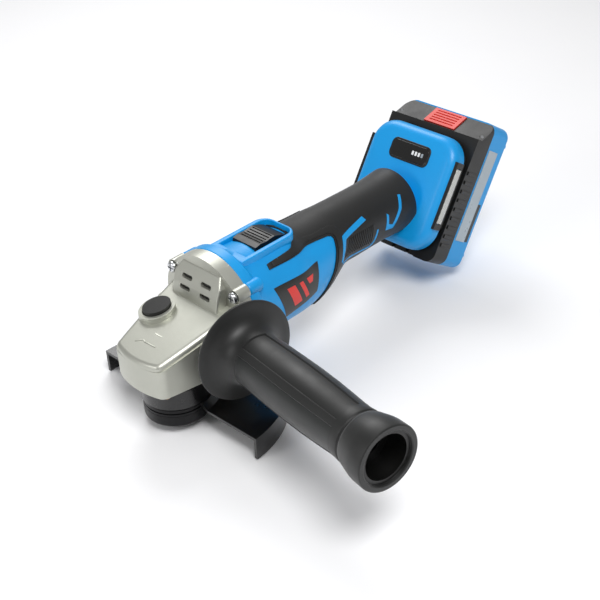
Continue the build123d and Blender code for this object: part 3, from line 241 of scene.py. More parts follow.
class Surface(Enum):
    """Every finish on the tool, each a real material with the process that made its surface."""

    # A380 die-cast aluminium, blasted: warm silver-grey, satin, with a very fine grit.
    CAST_ALUMINIUM = Finish("Die_cast_aluminium_blasted", "BFC0B6", "B2B3AA", 0.8, 0.36, 0.48,
                            0.45, 0.025, 30.0, Pattern.CAST)
    # ABS injection moulded with a fine spark texture: bright cyan blue, soft highlights.
    BLUE_ABS = Finish("ABS_blue_moulded", "0096DC", "008ED2", 0.0, 0.34, 0.42, 0.5, 0.012, 40.0)
    # TPE overmould with a matt spark texture: near-black with a soft sheen.
    BLACK_TPE = Finish("TPE_overmould_black", "0C0C0B", "090908", 0.0, 0.46, 0.58, 0.45, 0.03,
                       22.0, sheen=0.12)
    # Glass-filled nylon, moulded: black, a little glossier than the soft skin.
    BLACK_NYLON = Finish("Nylon_black_moulded", "0B0B0A", "080807", 0.0, 0.36, 0.48, 0.5, 0.02,
                         20.0)
    # ABS moulded in red for the release button.
    RED_ABS = Finish("ABS_red_moulded", "D2392D", "C83227", 0.0, 0.35, 0.45, 0.5, 0.012, 20.0)
    # Pressed steel with black powder paint: a slight orange peel under a smooth gloss.
    BLACK_PAINT = Finish("Powder_paint_black_on_steel", "0F0F10", "0C0C0D", 0.0, 0.24, 0.34, 1.6,
                         0.03, 30.0, Pattern.PAINTED, coat=0.3)
    # Turned steel, hot blackened: dark metal with fine tool rings about the spindle.
    BLACK_OXIDE = Finish("Steel_black_oxide_turned", "2A2A2B", "222223", 0.85, 0.3, 0.44, 0.5,
                         0.01, 12.0, Pattern.TURNED)
    # Turned and ground bearing steel about the spindle: bright with fine rings.
    BRIGHT_STEEL = Finish("Steel_bright_turned", "B9BABA", "ABACAD", 1.0, 0.2, 0.32, 0.4, 0.008,
                          10.0, Pattern.TURNED)
    # Zinc-plated screws: bright blue-white metal.
    BRIGHT_ZINC = Finish("Zinc_plate_bright", "D4D6D8", "C4C6C9", 1.0, 0.16, 0.26, 0.6, 0.01, 4.0,
                         Pattern.PLAIN)
    # Yellow-passivated zinc on the bearing box screws.
    YELLOW_ZINC = Finish("Zinc_plate_yellow", "D3A55A", "BE9566", 1.0, 0.2, 0.32, 0.6, 0.01, 4.0,
                         Pattern.PLAIN)
    # Rubberised side handle, moulded matt: near-black with a soft sheen.
    HANDLE_RUBBER = Finish("Rubber_handle_moulded", "0E0F0E", "0B0C0B", 0.0, 0.42, 0.54, 0.5,
                           0.025, 24.0, sheen=0.15)
    # Smoother inlay in the handle's sides.
    HANDLE_PANEL = Finish("Rubber_handle_panel_smooth", "151817", "121514", 0.0, 0.36, 0.44, 0.7,
                          0.012, 24.0, sheen=0.1)
    # Enamelled copper wire, wound: brown-red strands.
    COPPER = Finish("Copper_enamelled_wound", "B4623A", "7E3E22", 0.9, 0.25, 0.35, 0.8, 0.15,
                    10.0, Pattern.WOUND, axis=0)
    # Stacked electrical steel laminations along the motor.
    LAMINATIONS = Finish("Electrical_steel_stacked", "8D8E90", "5E5F61", 0.9, 0.35, 0.5, 0.5,
                         0.05, 10.0, Pattern.STACKED, axis=0)
    # FR4 board with green solder mask.
    BOARD = Finish("FR4_solder_mask_green", "14603A", "0F5231", 0.0, 0.25, 0.35, 1.0, 0.01, 8.0,
                   Pattern.PLAIN, coat=0.3)
    # Smoked polycarbonate window, polished.
    SMOKED_WINDOW = Finish("Polycarbonate_smoked_polished", "0B0B0A", "080807", 0.0, 0.08, 0.14,
                           2.0, 0.004, 20.0, Pattern.PLAIN, coat=0.4)
    # Woven stainless filter cloth, drawn with wires twice as coarse as real so that they show.
    STEEL_MESH = Finish("Stainless_mesh_woven", "8E8F8C", "E3E4E0", 0.55, 0.3, 0.42, 0.8, 0.25,
                        6.0, Pattern.WOVEN)
    # PVC heat-shrink wrap on the cells.
    CELL_WRAP = Finish("PVC_shrink_wrap_teal", "2E7D6B", "286F5F", 0.0, 0.25, 0.35, 2.0, 0.01,
                       20.0, Pattern.PLAIN)
    # Printed polyester label stock, silver-grey.
    LABEL_SILVER = Finish("Label_film_silver", "A9B4BB", "98A3AB", 0.35, 0.25, 0.35, 1.0, 0.004,
                          30.0, Pattern.PLAIN)
    # Printed polyester label stock, black.
    LABEL_BLACK = Finish("Label_film_black", "232322", "1E1E1D", 0.0, 0.3, 0.38, 1.0, 0.004,
                         30.0, Pattern.PLAIN)
    # Printed red ink on the labels.
    INK_RED = Finish("Label_ink_red", "D9322B", "CF2D26", 0.0, 0.3, 0.4, 1.0, 0.004, 30.0,
                     Pattern.PLAIN)
    # Printed white ink on the labels and lit marks.
    INK_WHITE = Finish("Label_ink_white", "E6E8E8", "DADCDC", 0.0, 0.35, 0.45, 1.0, 0.004, 30.0,
                       Pattern.PLAIN)
    # White paper floor.
    STUDIO_PAPER = Finish("Studio_paper_white", "F6F6F7", "F3F3F5", 0.0, 0.8, 0.9, 1.0, 0.01,
                          60.0, Pattern.PLAIN)


def dress(piece: bpy.types.Object, surface: Surface) -> None:
    """Gives a piece one finish all over."""
    piece.data.materials.clear()
    piece.data.materials.append(surface.value.build())
    for polygon in piece.data.polygons:
        polygon.material_index = 0


CAD_FINISHES: dict[Surface, tuple[str, ...]] = {
    Surface.CAST_ALUMINIUM: ("gear_housing", "bearing_box"),
    Surface.BRIGHT_ZINC: ("gear_housing_screws", "pack_screws", "housing_screws"),
    Surface.YELLOW_ZINC: ("bearing_box_screws",),
    Surface.BRIGHT_STEEL: ("spindle", "spindle_key", "bevel_gear", "pinion", "pinion_nut",
                           "rotor_shaft", "spindle_bearing_lower", "spindle_bearing_upper",
                           "rotor_bearing_front", "rotor_bearing_rear", "bearing_retainer",
                           "bearing_plate", "spindle_lock_pin", "spindle_lock_spring",
                           "release_spring", "handle_stud"),
    Surface.LAMINATIONS: ("rotor_core", "stator_core"),
    Surface.BLACK_OXIDE: ("lock_nut", "inner_flange", "guard_clamp_screw", "guard_clamp_nut"),
    Surface.BLACK_PAINT: ("guard", "guard_collar"),
    Surface.COPPER: ("stator_windings",),
    Surface.BOARD: ("control_board", "motor_board"),
    Surface.BLACK_NYLON: ("fan", "fan_baffle", "spindle_lock_button", "switch_slider",
                          "switch_rod", "switch_body", "foot_rail", "terminal_block",
                          "filter_frame_left", "filter_frame_right", "pack_upper_shell",
                          "cell_holders", "handle_core"),
    Surface.LABEL_BLACK: ("side_labels",),
    Surface.BLUE_ABS: ("housing_left", "housing_right", "pack_tray"),
    Surface.BLACK_TPE: ("overmould_left", "overmould_right"),
    Surface.RED_ABS: ("release_button",),
    Surface.HANDLE_RUBBER: ("handle_grip",),
    Surface.SMOKED_WINDOW: ("display_window", "display_button"),
    Surface.STEEL_MESH: ("filter_mesh_left", "filter_mesh_right"),
    Surface.CELL_WRAP: ("cells",),
    Surface.LABEL_SILVER: ("pack_labels",),
}


def dress_frame() -> None:
    """Gives every CAD node its finish, also those that a finer piece replaces."""
    for surface, nodes in CAD_FINISHES.items():
        for node in nodes:
            dress(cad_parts[node], surface)
        log.info("%s: %s", surface.value.name, ", ".join(nodes))


# ---- Modelling bench -----------------------------------------------------------------------
Point = tuple[float, float]
Corner = tuple[float, float, float]
TILT = math.radians(33.0)                                    # how far the foot leans back
FOOT_U = Vector((math.cos(TILT), 0.0, -math.sin(TILT)))      # out of the foot, to the pack
FOOT_W = Vector((math.sin(TILT), 0.0, math.cos(TILT)))       # up along the foot
FOOT_ORIGIN = Vector((200.0, 0.0, 57.0)) * MM


class Bench:
    """Selects and shapes the mesh in hand with the modelling operators."""

    @staticmethod
    def clear() -> None:
        """Deselects every object."""
        bpy.ops.object.select_all(action="DESELECT")

    @staticmethod
    def take(piece: bpy.types.Object) -> None:
        """Makes a piece the only selected and active one."""
        Bench.clear()
        piece.select_set(True)
        bpy.context.view_layer.objects.active = piece

    @staticmethod
    def edit() -> None:
        """Enters edit mode with nothing selected."""
        bpy.ops.object.mode_set(mode="EDIT")
        bpy.ops.mesh.select_mode(type="FACE")
        bpy.ops.mesh.select_all(action="DESELECT")

    @staticmethod
    def done() -> None:
        """Returns to object mode."""
        bpy.ops.object.mode_set(mode="OBJECT")

    @staticmethod
    def faces(test: Callable[[Vector, Vector], bool]) -> int:
        """Selects the faces that pass a test, and only those.

        Args:
            test: Takes a face's centre in millimetres and its normal.

        Returns:
            How many faces are selected.
        """
        mesh = bmesh.from_edit_mesh(bpy.context.edit_object.data)
        count = 0
        for face in mesh.faces:
            wanted = test(face.calc_center_median() / MM, face.normal)
            face.select_set(wanted)
            count += wanted
        mesh.select_flush_mode()
        bmesh.update_edit_mesh(bpy.context.edit_object.data)
        return count

    @staticmethod
    def edges(test: Callable[[Vector, Vector], bool]) -> None:
        """Selects the edges that pass a test, and only those.

        Args:
            test: Takes an edge's two ends in millimetres.
        """
        bpy.ops.mesh.select_mode(type="EDGE")
        bpy.ops.mesh.select_all(action="DESELECT")
        mesh = bmesh.from_edit_mesh(bpy.context.edit_object.data)
        for edge in mesh.edges:
            if test(edge.verts[0].co / MM, edge.verts[1].co / MM):
                edge.select_set(True)
        bmesh.update_edit_mesh(bpy.context.edit_object.data)

    @staticmethod
    def finish(piece: bpy.types.Object, surface: Surface, body: str, slot: str,
               angle: float = SMOOTH_ANGLE) -> bpy.types.Object:
        """Applies a piece's place and modifiers, shades and dresses it, and sets it riding.

        Args:
            piece: The finished mesh.
            surface: Its finish.
            body: The CAD body that it rides on.
            slot: Not used.
            angle: Edges sharper than this stay sharp.

        Returns:
            The piece.
        """
        Bench.take(piece)
        for modifier in list(piece.modifiers):
            bpy.ops.object.modifier_apply(modifier=modifier.name)
        bpy.ops.object.transform_apply(location=True, rotation=True, scale=True)
        bpy.ops.object.mode_set(mode="EDIT")
        bpy.ops.mesh.select_all(action="SELECT")
        bpy.ops.mesh.remove_doubles(threshold=MERGE_M)
        bpy.ops.mesh.normals_make_consistent(inside=False)
        bpy.ops.object.mode_set(mode="OBJECT")
        bpy.ops.object.shade_smooth_by_angle(angle=angle)
        if not piece.data.materials:
            dress(piece, surface)
        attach(piece, body)
        return piece


def add_modifier(piece: bpy.types.Object, kind: str, **settings: object) -> None:
    """Puts a modifier on a piece.

    Args:
        piece: The piece that gets it.
        kind: The modifier's type name.
        settings: Properties of the modifier.
    """
    modifier = piece.modifiers.new(kind.title(), kind)
    for name, value in settings.items():
        setattr(modifier, name, value)


def tube(name: str, stations: Sequence[Corner], sides: int,
         caps: bool = True) -> bpy.types.Object:
    """Draws a tube up through circles, starting from one ring and extruding it.

    Args:
        name: The piece's name.
        stations: Height, sideways offset along X, and radius of each circle, in millimetres.
        sides: Number of sides.
        caps: Whether both ends are filled.

    Returns:
        The tube, standing on +Z.
    """
    Bench.clear()
    height, offset, radius = stations[0]
    bpy.ops.mesh.primitive_circle_add(vertices=sides, radius=radius * MM,
                                      location=(offset * MM, 0, height * MM),
                                      fill_type="NOTHING")
    piece = bpy.context.object
    piece.name = name
    bpy.ops.object.transform_apply(location=True, rotation=True, scale=True)
    bpy.ops.object.mode_set(mode="EDIT")
    bpy.ops.mesh.select_all(action="SELECT")
    for before, after in zip(stations, stations[1:]):
        move = ((after[1] - before[1]) * MM, 0, (after[0] - before[0]) * MM)
        bpy.ops.mesh.extrude_region_move(TRANSFORM_OT_translate={"value": move})
        share = after[2] / before[2]
        bpy.ops.transform.resize(value=(share, share, 1),
                                 center_override=(after[1] * MM, 0, after[0] * MM))
    if caps:
        bpy.ops.mesh.edge_face_add()
        Bench.done()
        Bench.edit()
        bpy.ops.mesh.select_mode(type="EDGE")
        bpy.ops.mesh.select_non_manifold()
        bpy.ops.mesh.edge_face_add()
    bpy.ops.mesh.select_all(action="SELECT")
    bpy.ops.mesh.normals_make_consistent(inside=False)
    Bench.done()
    return piece


def box(name: str, size: Sequence[float], middle: Sequence[float]) -> bpy.types.Object:
    """Adds a plain block.

    Args:
        name: The piece's name.
        size: Its three lengths in metres.
        middle: Its centre in metres.

    Returns:
        The block, unscaled.
    """
    Bench.clear()
    bpy.ops.mesh.primitive_cube_add(size=1, location=middle)
    piece = bpy.context.object
    piece.name = name
    piece.scale = size
    bpy.ops.object.transform_apply(location=True, rotation=True, scale=True)
    return piece


def inside(point: Point, outline: Sequence[Point]) -> bool:
    """Whether a point lies inside an outline.

    Args:
        point: The point as (x, z).
        outline: The outline's corners in order.

    Returns:
        True when a ray from the point crosses the outline an odd number of times.
    """
    odd = False
    x, z = point
    for (x0, z0), (x1, z1) in zip(outline, list(outline[1:]) + [outline[0]]):
        if (z0 > z) != (z1 > z) and x < (x1 - x0) * (z - z0) / (z1 - z0) + x0:
            odd = not odd
    return odd


@dataclass(frozen=True)
class Layer:
    """How a patch stands on the surface that it is cut from, in millimetres.

    Attributes:
        lift: How far its face stands out of the surface.
        thick: Its thickness.
        soft: Radius of its rounded edges, 0 for none.
    """

    lift: float
    thick: float
    soft: float = 0.0


def patch(source: bpy.types.Object, name: str, outline: Sequence[Point], layer: Layer,
          keep: Callable[[Vector], bool] = lambda _: True) -> bpy.types.Object:
    """Cuts a patch out of a copy of a skin along an outline seen from the side.

    Args:
        source: The piece whose surface the patch follows.
        name: The patch's name.
        outline: Corners of the patch as (x, z), in millimetres.
        layer: Its lift, thickness and edge radius.
        keep: Further test on a face's centre, in millimetres.

    Returns:
        The patch as a closed mesh.
    """
    piece = source.copy()
    piece.data = source.data.copy()
    piece.name = name
    bpy.context.scene.collection.objects.link(piece)
    Bench.take(piece)
    Bench.edit()
    for (x0, z0), (x1, z1) in zip(outline, list(outline[1:]) + [outline[0]]):
        bpy.ops.mesh.select_all(action="SELECT")
        across = Vector((z1 - z0, 0.0, x0 - x1)).normalized()
        bpy.ops.mesh.bisect(plane_co=(x0 * MM, 0, z0 * MM), plane_no=across)
    end_face = 0.95
    Bench.faces(lambda c, n: abs(n.x) > end_face or not inside((c.x, c.z), outline)
                or not keep(c))
    bpy.ops.mesh.delete(type="FACE")
    bpy.ops.mesh.select_all(action="SELECT")
    bpy.ops.transform.shrink_fatten(value=layer.lift * MM)
    Bench.done()
    add_modifier(piece, "SOLIDIFY", thickness=layer.thick * MM, offset=-1.0,
                 use_even_offset=False)
    if layer.soft:
        add_modifier(piece, "BEVEL", width=layer.soft * MM, segments=2, limit_method="ANGLE",
                     angle_limit=RIM_ANGLE)
    return piece


def smooth_path(points: Sequence[Corner], step: float) -> list[Corner]:
    """Fills in a row of (station, offset, radius) with a smooth cubic through every point.

    Args:
        points: The given circles.
        step: Spacing of the filled ones, in millimetres.

    Returns:
        A finer row with the same ends.
    """
    row = []
    slopes = []
    for i, here in enumerate(points):
        low = points[max(i - 1, 0)]
        high = points[min(i + 1, len(points) - 1)]
        run = high[0] - low[0]
        slopes.append([(high[k] - low[k]) / run for k in (1, 2)])
    for i, (a, b) in enumerate(zip(points, points[1:])):
        run = b[0] - a[0]
        count = max(1, round(run / step))
        for j in range(count):
            t = j / count
            h = (2 * t**3 - 3 * t**2 + 1, t**3 - 2 * t**2 + t, 3 * t**2 - 2 * t**3, t**3 - t**2)
            values = [h[0] * a[k] + h[1] * run * slopes[i][k - 1] + h[2] * b[k]
                      + h[3] * run * slopes[i + 1][k - 1] for k in (1, 2)]
            row.append((a[0] + run * t, values[0], values[1]))
    return row + [points[-1]]


# ---- Motor housing and grip ----------------------------------------------------------------
@dataclass
class Barrel:
    """The blue housing, its soft black skin, the switch surround and the side labels.

    Attributes:
        ring: Front ring as (x, centre height, radius).
        circles: The rest of the housing's circles, front to back.
        skin: Outline of the soft skin in side view, as (x, z).
        band: Outline of the raised band of skin round the blue panel.
        stripes: Outlines of the blue inlays in the skin.
        label: Outline of the side label.
        marks: Outlines of the bars on the label.
        ribs: Corners of the ribbed field: top front, top rear, low rear, low front.
        rib_count: Ribs in that field.
        rib_width: Width of each rib.
        sides: Facets round the housing.
        step: Spacing of the housing's circles.
        label_clear: The label keeps this far from the centre plane.
        surround_x: Front and back of the raised switch surround.
        surround_half: Half its width.
        surround_z: Its foot and its top.
        surround_corner: Radius of its rear corners.
        surround_wall: Thickness of its rim.
        surround_soft: Radius of its edges.
        recess_back: How far the switch recess is moved back in the rim.
        recess_stretch: Its length against the rim's inside.
        recess_depth: Its depth.
        boss_x: Front and back of the four screw bosses.
        boss_y: Their distance from the centre plane.
        boss_middle_z: Height of the circle of bosses' middle.
        boss_rise: Their distance above or below it.
        boss_r: Their radius.
        boss_soft: Radius of their edges.
    """

    ring: tuple = ((38.5, 57.0, 34.0), (39.1, 57.0, 34.5), (45.0, 57.0, 34.5), (46.2, 56.7, 33.8),
                   (47.8, 55.6, 32.0))
    circles: tuple = ((50.0, 54.9, 31.2), (62.0, 54.5, 30.7), (85.0, 54.3, 30.5), (98.0, 52.0, 28.2),
                      (108.0, 52.6, 26.6), (121.0, 55.1, 24.0), (128.0, 57.2, 22.1),
                      (135.0, 58.4, 20.6), (150.0, 58.2, 20.3), (175.0, 57.9, 20.1),
                      (186.0, 57.8, 20.6), (200.0, 57.8, 21.6))
    skin: tuple = ((63.3, 78.5), (84.0, 79.2), (87.8, 79.2), (90.0, 80.3), (93.5, 82.7),
                   (96.0, 85.2), (96.0, 96.0), (204.0, 96.0), (204.0, 20.0), (97.0, 20.0),
                   (104.0, 36.0), (114.1, 51.1), (119.8, 63.6), (121.7, 69.6), (120.8, 71.2),
                   (118.4, 72.1), (85.1, 75.4), (62.7, 76.0))
    band: tuple = ((66.0, 76.1), (66.4, 78.3), (84.0, 78.9), (91.0, 80.6), (97.4, 82.5),
                   (98.8, 77.2), (108.5, 75.8), (123.2, 75.5), (127.4, 74.0), (128.7, 71.5),
                   (126.3, 64.5), (120.0, 50.0), (108.0, 28.0), (101.5, 31.0), (105.4, 36.0),
                   (115.5, 51.1), (121.2, 63.4), (123.0, 69.8), (121.8, 72.2), (118.8, 73.3),
                   (85.3, 76.3))
    stripes: tuple = (
        ((151.3, 71.1), (153.4, 68.3), (131.2, 64.9), (124.6, 52.5), (122.9, 53.2), (128.6, 68.0)),
        ((125.4, 51.9), (156.0, 48.7), (158.4, 51.2), (161.2, 58.9), (162.6, 58.6), (159.9, 50.2),
         (156.7, 47.2), (125.0, 50.7)),
        ((172.3, 65.2), (173.9, 63.8), (172.9, 58.0), (176.8, 56.0), (183.9, 64.3), (187.2, 71.5),
         (189.3, 71.1), (186.2, 63.4), (177.4, 52.9), (169.7, 54.6)),
    )
    label: tuple = ((59.4, 67.1), (101.0, 65.2), (95.6, 47.4), (67.8, 42.5))
    marks: tuple = (
        ((69.0, 62.6), (75.5, 62.3), (80.5, 49.2), (74.2, 48.2)),
        ((79.2, 62.1), (82.4, 61.9), (86.9, 50.2), (83.9, 49.7)),
        ((86.0, 61.8), (93.0, 61.4), (91.2, 57.4), (87.7, 57.6)),
    )
    ribs: tuple = ((135.4, 64.2), (157.6, 63.4), (155.2, 51.6), (127.4, 54.4))
    rib_count: int = 13
    rib_width: float = 1.0
    sides: int = 128
    step: float = 3.0
    label_clear: float = 5.0
    surround_x: Point = (47.5, 95.6)
    surround_half: float = 15.2
    surround_z: Point = (70.0, 85.7)
    surround_corner: float = 9.0
    surround_wall: float = 3.4
    surround_soft: float = 1.1
    recess_back: float = 1.9
    recess_stretch: float = 0.955
    recess_depth: float = 6.0
    boss_x: Point = (38.6, 50.0)
    boss_y: float = 26.4
    boss_middle_z: float = 57.0
    boss_rise: float = 18.5
    boss_r: float = 4.4
    boss_soft: float = 1.6

    def shell(self) -> bpy.types.Object:
        """Draws the housing back through its circles.

        Returns:
            The closed blue housing.
        """
        row = list(self.ring) + smooth_path(self.circles, self.step)
        stations = [(x, -z, r) for x, z, r in row]
        piece = tube("housing_shell", stations, self.sides)
        piece.rotation_euler = (0, math.pi / 2, 0)
        Bench.take(piece)
        bpy.ops.object.transform_apply(location=True, rotation=True, scale=True)
        return piece

    def rib_outline(self, share: float) -> list[Point]:
        """Outline of one slanted rib.

        Args:
            share: Its place along the field, 0 to 1.

        Returns:
            Four corners.
        """
        top_front, top_rear, low_rear, low_front = (Vector(corner) for corner in self.ribs)
        top = top_front.lerp(top_rear, share)
        low = low_front.lerp(low_rear, share)
        return [(top.x, top.y), (top.x + self.rib_width, top.y),
                (low.x + self.rib_width, low.y), (low.x, low.y)]

    def surround(self) -> bpy.types.Object:
        """Blocks out the raised blue surround and sinks the switch recess into it.

        Returns:
            The surround.
        """
        front, back = self.surround_x
        low, top = self.surround_z
        piece = box("switch_surround",
                    ((back - front) * MM, 2 * self.surround_half * MM, (top - low) * MM),
                    ((front + back) / 2 * MM, 0, (low + top) / 2 * MM))
        Bench.edit()
        Bench.edges(lambda a, b: abs(a.x - b.x) < 0.1 and abs(a.y - b.y) < 0.1
                    and a.x > (front + back) / 2)
        bpy.ops.mesh.bevel(offset=self.surround_corner * MM, segments=8, affect="EDGES")
        bpy.ops.mesh.select_mode(type="FACE")
        Bench.faces(lambda c, n: n.z > 0.9)
        bpy.ops.mesh.inset(thickness=self.surround_wall * MM)
        bpy.ops.transform.translate(value=(self.recess_back * MM, 0, 0))
        bpy.ops.transform.resize(value=(self.recess_stretch, 1, 1),
                                 center_override=(back * MM, 0, 0))
        sink = (0, 0, -self.recess_depth * MM)
        bpy.ops.mesh.extrude_region_move(TRANSFORM_OT_translate={"value": sink})
        Bench.done()
        add_modifier(piece, "BEVEL", width=self.surround_soft * MM, segments=3,
                     limit_method="ANGLE", angle_limit=RIM_ANGLE)
        return piece

    def screw_boss(self, name: str, side: int, rise: int) -> bpy.types.Object:
        """The rounded boss that takes one of the gear head's four screws.

        Args:
            name: The piece's name.
            side: 1 for +Y, -1 for -Y.
            rise: 1 above the motor's axis, -1 below it.

        Returns:
            The boss.
        """
        middle = ((self.boss_x[0] + self.boss_x[1]) / 2, side * self.boss_y,
                  self.boss_middle_z + rise * self.boss_rise)
        Bench.clear()
        bpy.ops.mesh.primitive_cylinder_add(
            vertices=32, radius=self.boss_r * MM, depth=(self.boss_x[1] - self.boss_x[0]) * MM,
            location=Vector(middle) * MM, rotation=(0, math.pi / 2, 0))
        piece = bpy.context.object
        piece.name = name
        bpy.ops.object.transform_apply(location=True, rotation=True, scale=True)
        add_modifier(piece, "BEVEL", width=self.boss_soft * MM, segments=4)
        return piece

    def build(self) -> None:
        """Builds the housing and everything laid over it."""
        shell = self.shell()
        skin = patch(shell, "grip_skin", self.skin, Layer(lift=0.9, thick=1.0, soft=0.35))
        band = patch(shell, "grip_skin_band", self.band, Layer(lift=1.35, thick=1.2, soft=0.3))
        label = patch(shell, "side_label", self.label, Layer(lift=0.16, thick=0.2),
                      keep=lambda c: abs(c.y) > self.label_clear)
        body = "tool_body"
        for i, outline in enumerate(self.marks, 1):
            mark = patch(shell, f"side_label_bar_{i}", outline, Layer(lift=0.24, thick=0.12))
            Bench.finish(mark, Surface.INK_RED, body, "red_plastic")
        for i, outline in enumerate(self.stripes, 1):
            stripe = patch(shell, f"grip_inlay_{i}", outline,
                           Layer(lift=1.1, thick=1.1, soft=0.12))
            Bench.finish(stripe, Surface.BLUE_ABS, body, "blue_plastic")
        for i in range(self.rib_count):
            rib = patch(shell, f"grip_rib_{i + 1}", self.rib_outline(i / (self.rib_count - 1)),
                        Layer(lift=1.3, thick=1.1, soft=0.15))
            Bench.finish(rib, Surface.BLACK_TPE, body, "black_soft_skin")
        Bench.finish(self.surround(), Surface.BLUE_ABS, body, "blue_plastic")
        Bench.finish(label, Surface.LABEL_BLACK, body, "black_plastic")
        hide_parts("side_labels")
        Bench.finish(band, Surface.BLACK_TPE, body, "black_soft_skin")
        Bench.finish(skin, Surface.BLACK_TPE, body, "black_soft_skin")
        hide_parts("overmould_left", "overmould_right")
        Bench.finish(shell, Surface.BLUE_ABS, body, "blue_plastic")
        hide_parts("housing_left", "housing_right", "housing_screws")
        for index, (side, rise) in enumerate(((-1, -1), (-1, 1), (1, -1), (1, 1)), 1):
            boss = self.screw_boss(f"screw_boss_{index}", side, rise)
            Bench.finish(boss, Surface.BLUE_ABS, body, "blue_plastic")
        log.info("barrel: shell, skin, %d inlays, %d ribs, 4 screw bosses", len(self.stripes),
                 self.rib_count)


# ---- Foot that carries the pack ------------------------------------------------------------
def to_foot(piece: bpy.types.Object) -> None:
    """Moves a piece drawn with X across, Y up the foot and Z out of it into the foot's frame."""
    turn = Matrix((Vector((0, 1, 0)), FOOT_W, FOOT_U)).transposed().to_4x4()
    piece.data.transform(Matrix.Translation(FOOT_ORIGIN) @ turn)


def rounded_block(name: str, low: Sequence[float], high: Sequence[float], corner: float,
                  rim_low: float, rim_high: float, segments: int = 8) -> bpy.types.Object:
    """A block with round upright corners and softened rims.

    Args:
        name: The piece's name.
        low: Lowest corner in millimetres.
        high: Highest corner in millimetres.
        corner: Radius of the upright corners.
        rim_low: Radius of the lower rim.
        rim_high: Radius of the upper rim.
        segments: Facets of each corner.

    Returns:
        The block.
    """
    height = high[2] - low[2]
    piece = box(name, [(b - a) * MM for a, b in zip(low, high)],
                [(a + b) / 2 * MM for a, b in zip(low, high)])
    Bench.edit()
    Bench.edges(lambda a, b: abs(a.z - b.z) > height / 2)
    bpy.ops.mesh.bevel(offset=corner * MM, segments=segments, affect="EDGES")
    for level, radius in ((low[2], rim_low), (high[2], rim_high)):
        if radius:
            Bench.edges(lambda a, b, at=level: max(abs(a.z - at), abs(b.z - at)) < 0.01)
            bpy.ops.mesh.bevel(offset=radius * MM, segments=4, affect="EDGES")
    Bench.done()
    return piece


@dataclass
class Foot:
    """The blue foot, its window and its filters, in the foot's frame (y, w, u).

    Attributes:
        low: The hull's lowest corner.
        high: The hull's highest corner.
        corner: Radius of the hull's corners.
        rim: Radius of its front rim.
        window_low: The window frame's lowest corner.
        window_high: The window frame's highest corner.
        glass_low: The glass's lowest corner.
        glass_high: The glass's highest corner.
        light_y: Where the row of charge lights starts.
        light_pitch: Their spacing.
        light_half: Half the width of each.
        light_w: Their lower and upper end.
        light_u: Their front and back.
        light_count: How many there are; the last one is unlit.
        cloth_y: Inner and outer face of the filter cloths.
        cloth_w: Their lower and upper end.
        cloth_u: Their front and back.
    """

    low: Corner = (-36.3, -26.8, 1.2)
    high: Corner = (36.3, 52.8, 13.0)
    corner: float = 17.0
    rim: float = 6.5
    window_low: Corner = (-16.6, 27.4, 0.7)
    window_high: Corner = (16.6, 41.8, 2.4)
    glass_low: Corner = (-15.2, 28.8, 0.45)
    glass_high: Corner = (15.2, 40.4, 2.0)
    light_y: float = -3.0
    light_pitch: float = 2.6
    light_half: float = 0.8
    light_w: Point = (33.4, 36.2)
    light_u: Point = (0.15, 1.2)
    light_count: int = 4
    cloth_y: Point = (36.6, 37.75)
    cloth_w: Point = (-3.5, 34.5)
    cloth_u: Point = (5.2, 10.6)

    def light_bar(self, index: int) -> bpy.types.Object:
        """One of the small charge lights beside the round button.

        Args:
            index: Its place in the row, from 0.

        Returns:
            The light.
        """
        y = self.light_y - self.light_pitch * index
        return rounded_block(f"charge_light_{index + 1}",
                             (y - self.light_half, self.light_w[0], self.light_u[0]),
                             (y + self.light_half, self.light_w[1], self.light_u[1]),
                             corner=0.3, rim_low=0.1, rim_high=0.0, segments=2)

    def cloth(self, side: int, word: str) -> bpy.types.Object:
        """The bright filter cloth in one side frame.

        Args:
            side: 1 for +Y, -1 for -Y.
            word: The side in words.

        Returns:
            The strip.
        """
        inner, outer = sorted(side * y for y in self.cloth_y)
        return rounded_block(f"filter_cloth_{word}", (inner, self.cloth_w[0], self.cloth_u[0]),
                             (outer, self.cloth_w[1], self.cloth_u[1]),
                             corner=0.3, rim_low=0.25, rim_high=0.25, segments=2)

    def build(self) -> None:
        """Builds the hull, the window with its lights and the filter cloths."""
        body = "tool_body"
        hull = rounded_block("foot_hull", self.low, self.high, self.corner, self.rim, 0.0,
                             segments=10)
        to_foot(hull)
        Bench.finish(hull, Surface.BLUE_ABS, body, "blue_plastic")
        frame_ring = rounded_block("display_frame", self.window_low, self.window_high,
                                   corner=4.2, rim_low=0.5, rim_high=0.0)
        to_foot(frame_ring)
        Bench.finish(frame_ring, Surface.BLACK_NYLON, body, "black_plastic")
        window = rounded_block("display_glass", self.glass_low, self.glass_high,
                               corner=3.2, rim_low=0.3, rim_high=0.0)
        to_foot(window)
        Bench.finish(window, Surface.SMOKED_WINDOW, body, "dark_window")
        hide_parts("display_window")
        for index in range(self.light_count):
            lit = index < self.light_count - 1
            light = self.light_bar(index)
            to_foot(light)
            Bench.finish(light, Surface.INK_WHITE if lit else Surface.LABEL_SILVER, body,
                         "label_film")
        for side, word in ((1, "left"), (-1, "right")):
            strip = self.cloth(side, word)
            to_foot(strip)
            Bench.finish(strip, Surface.STEEL_MESH, f"filter_{word}", "filter_mesh")
            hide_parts(f"filter_mesh_{word}")
        log.info("foot: hull, window, %d lights, 2 filter cloths", self.light_count)


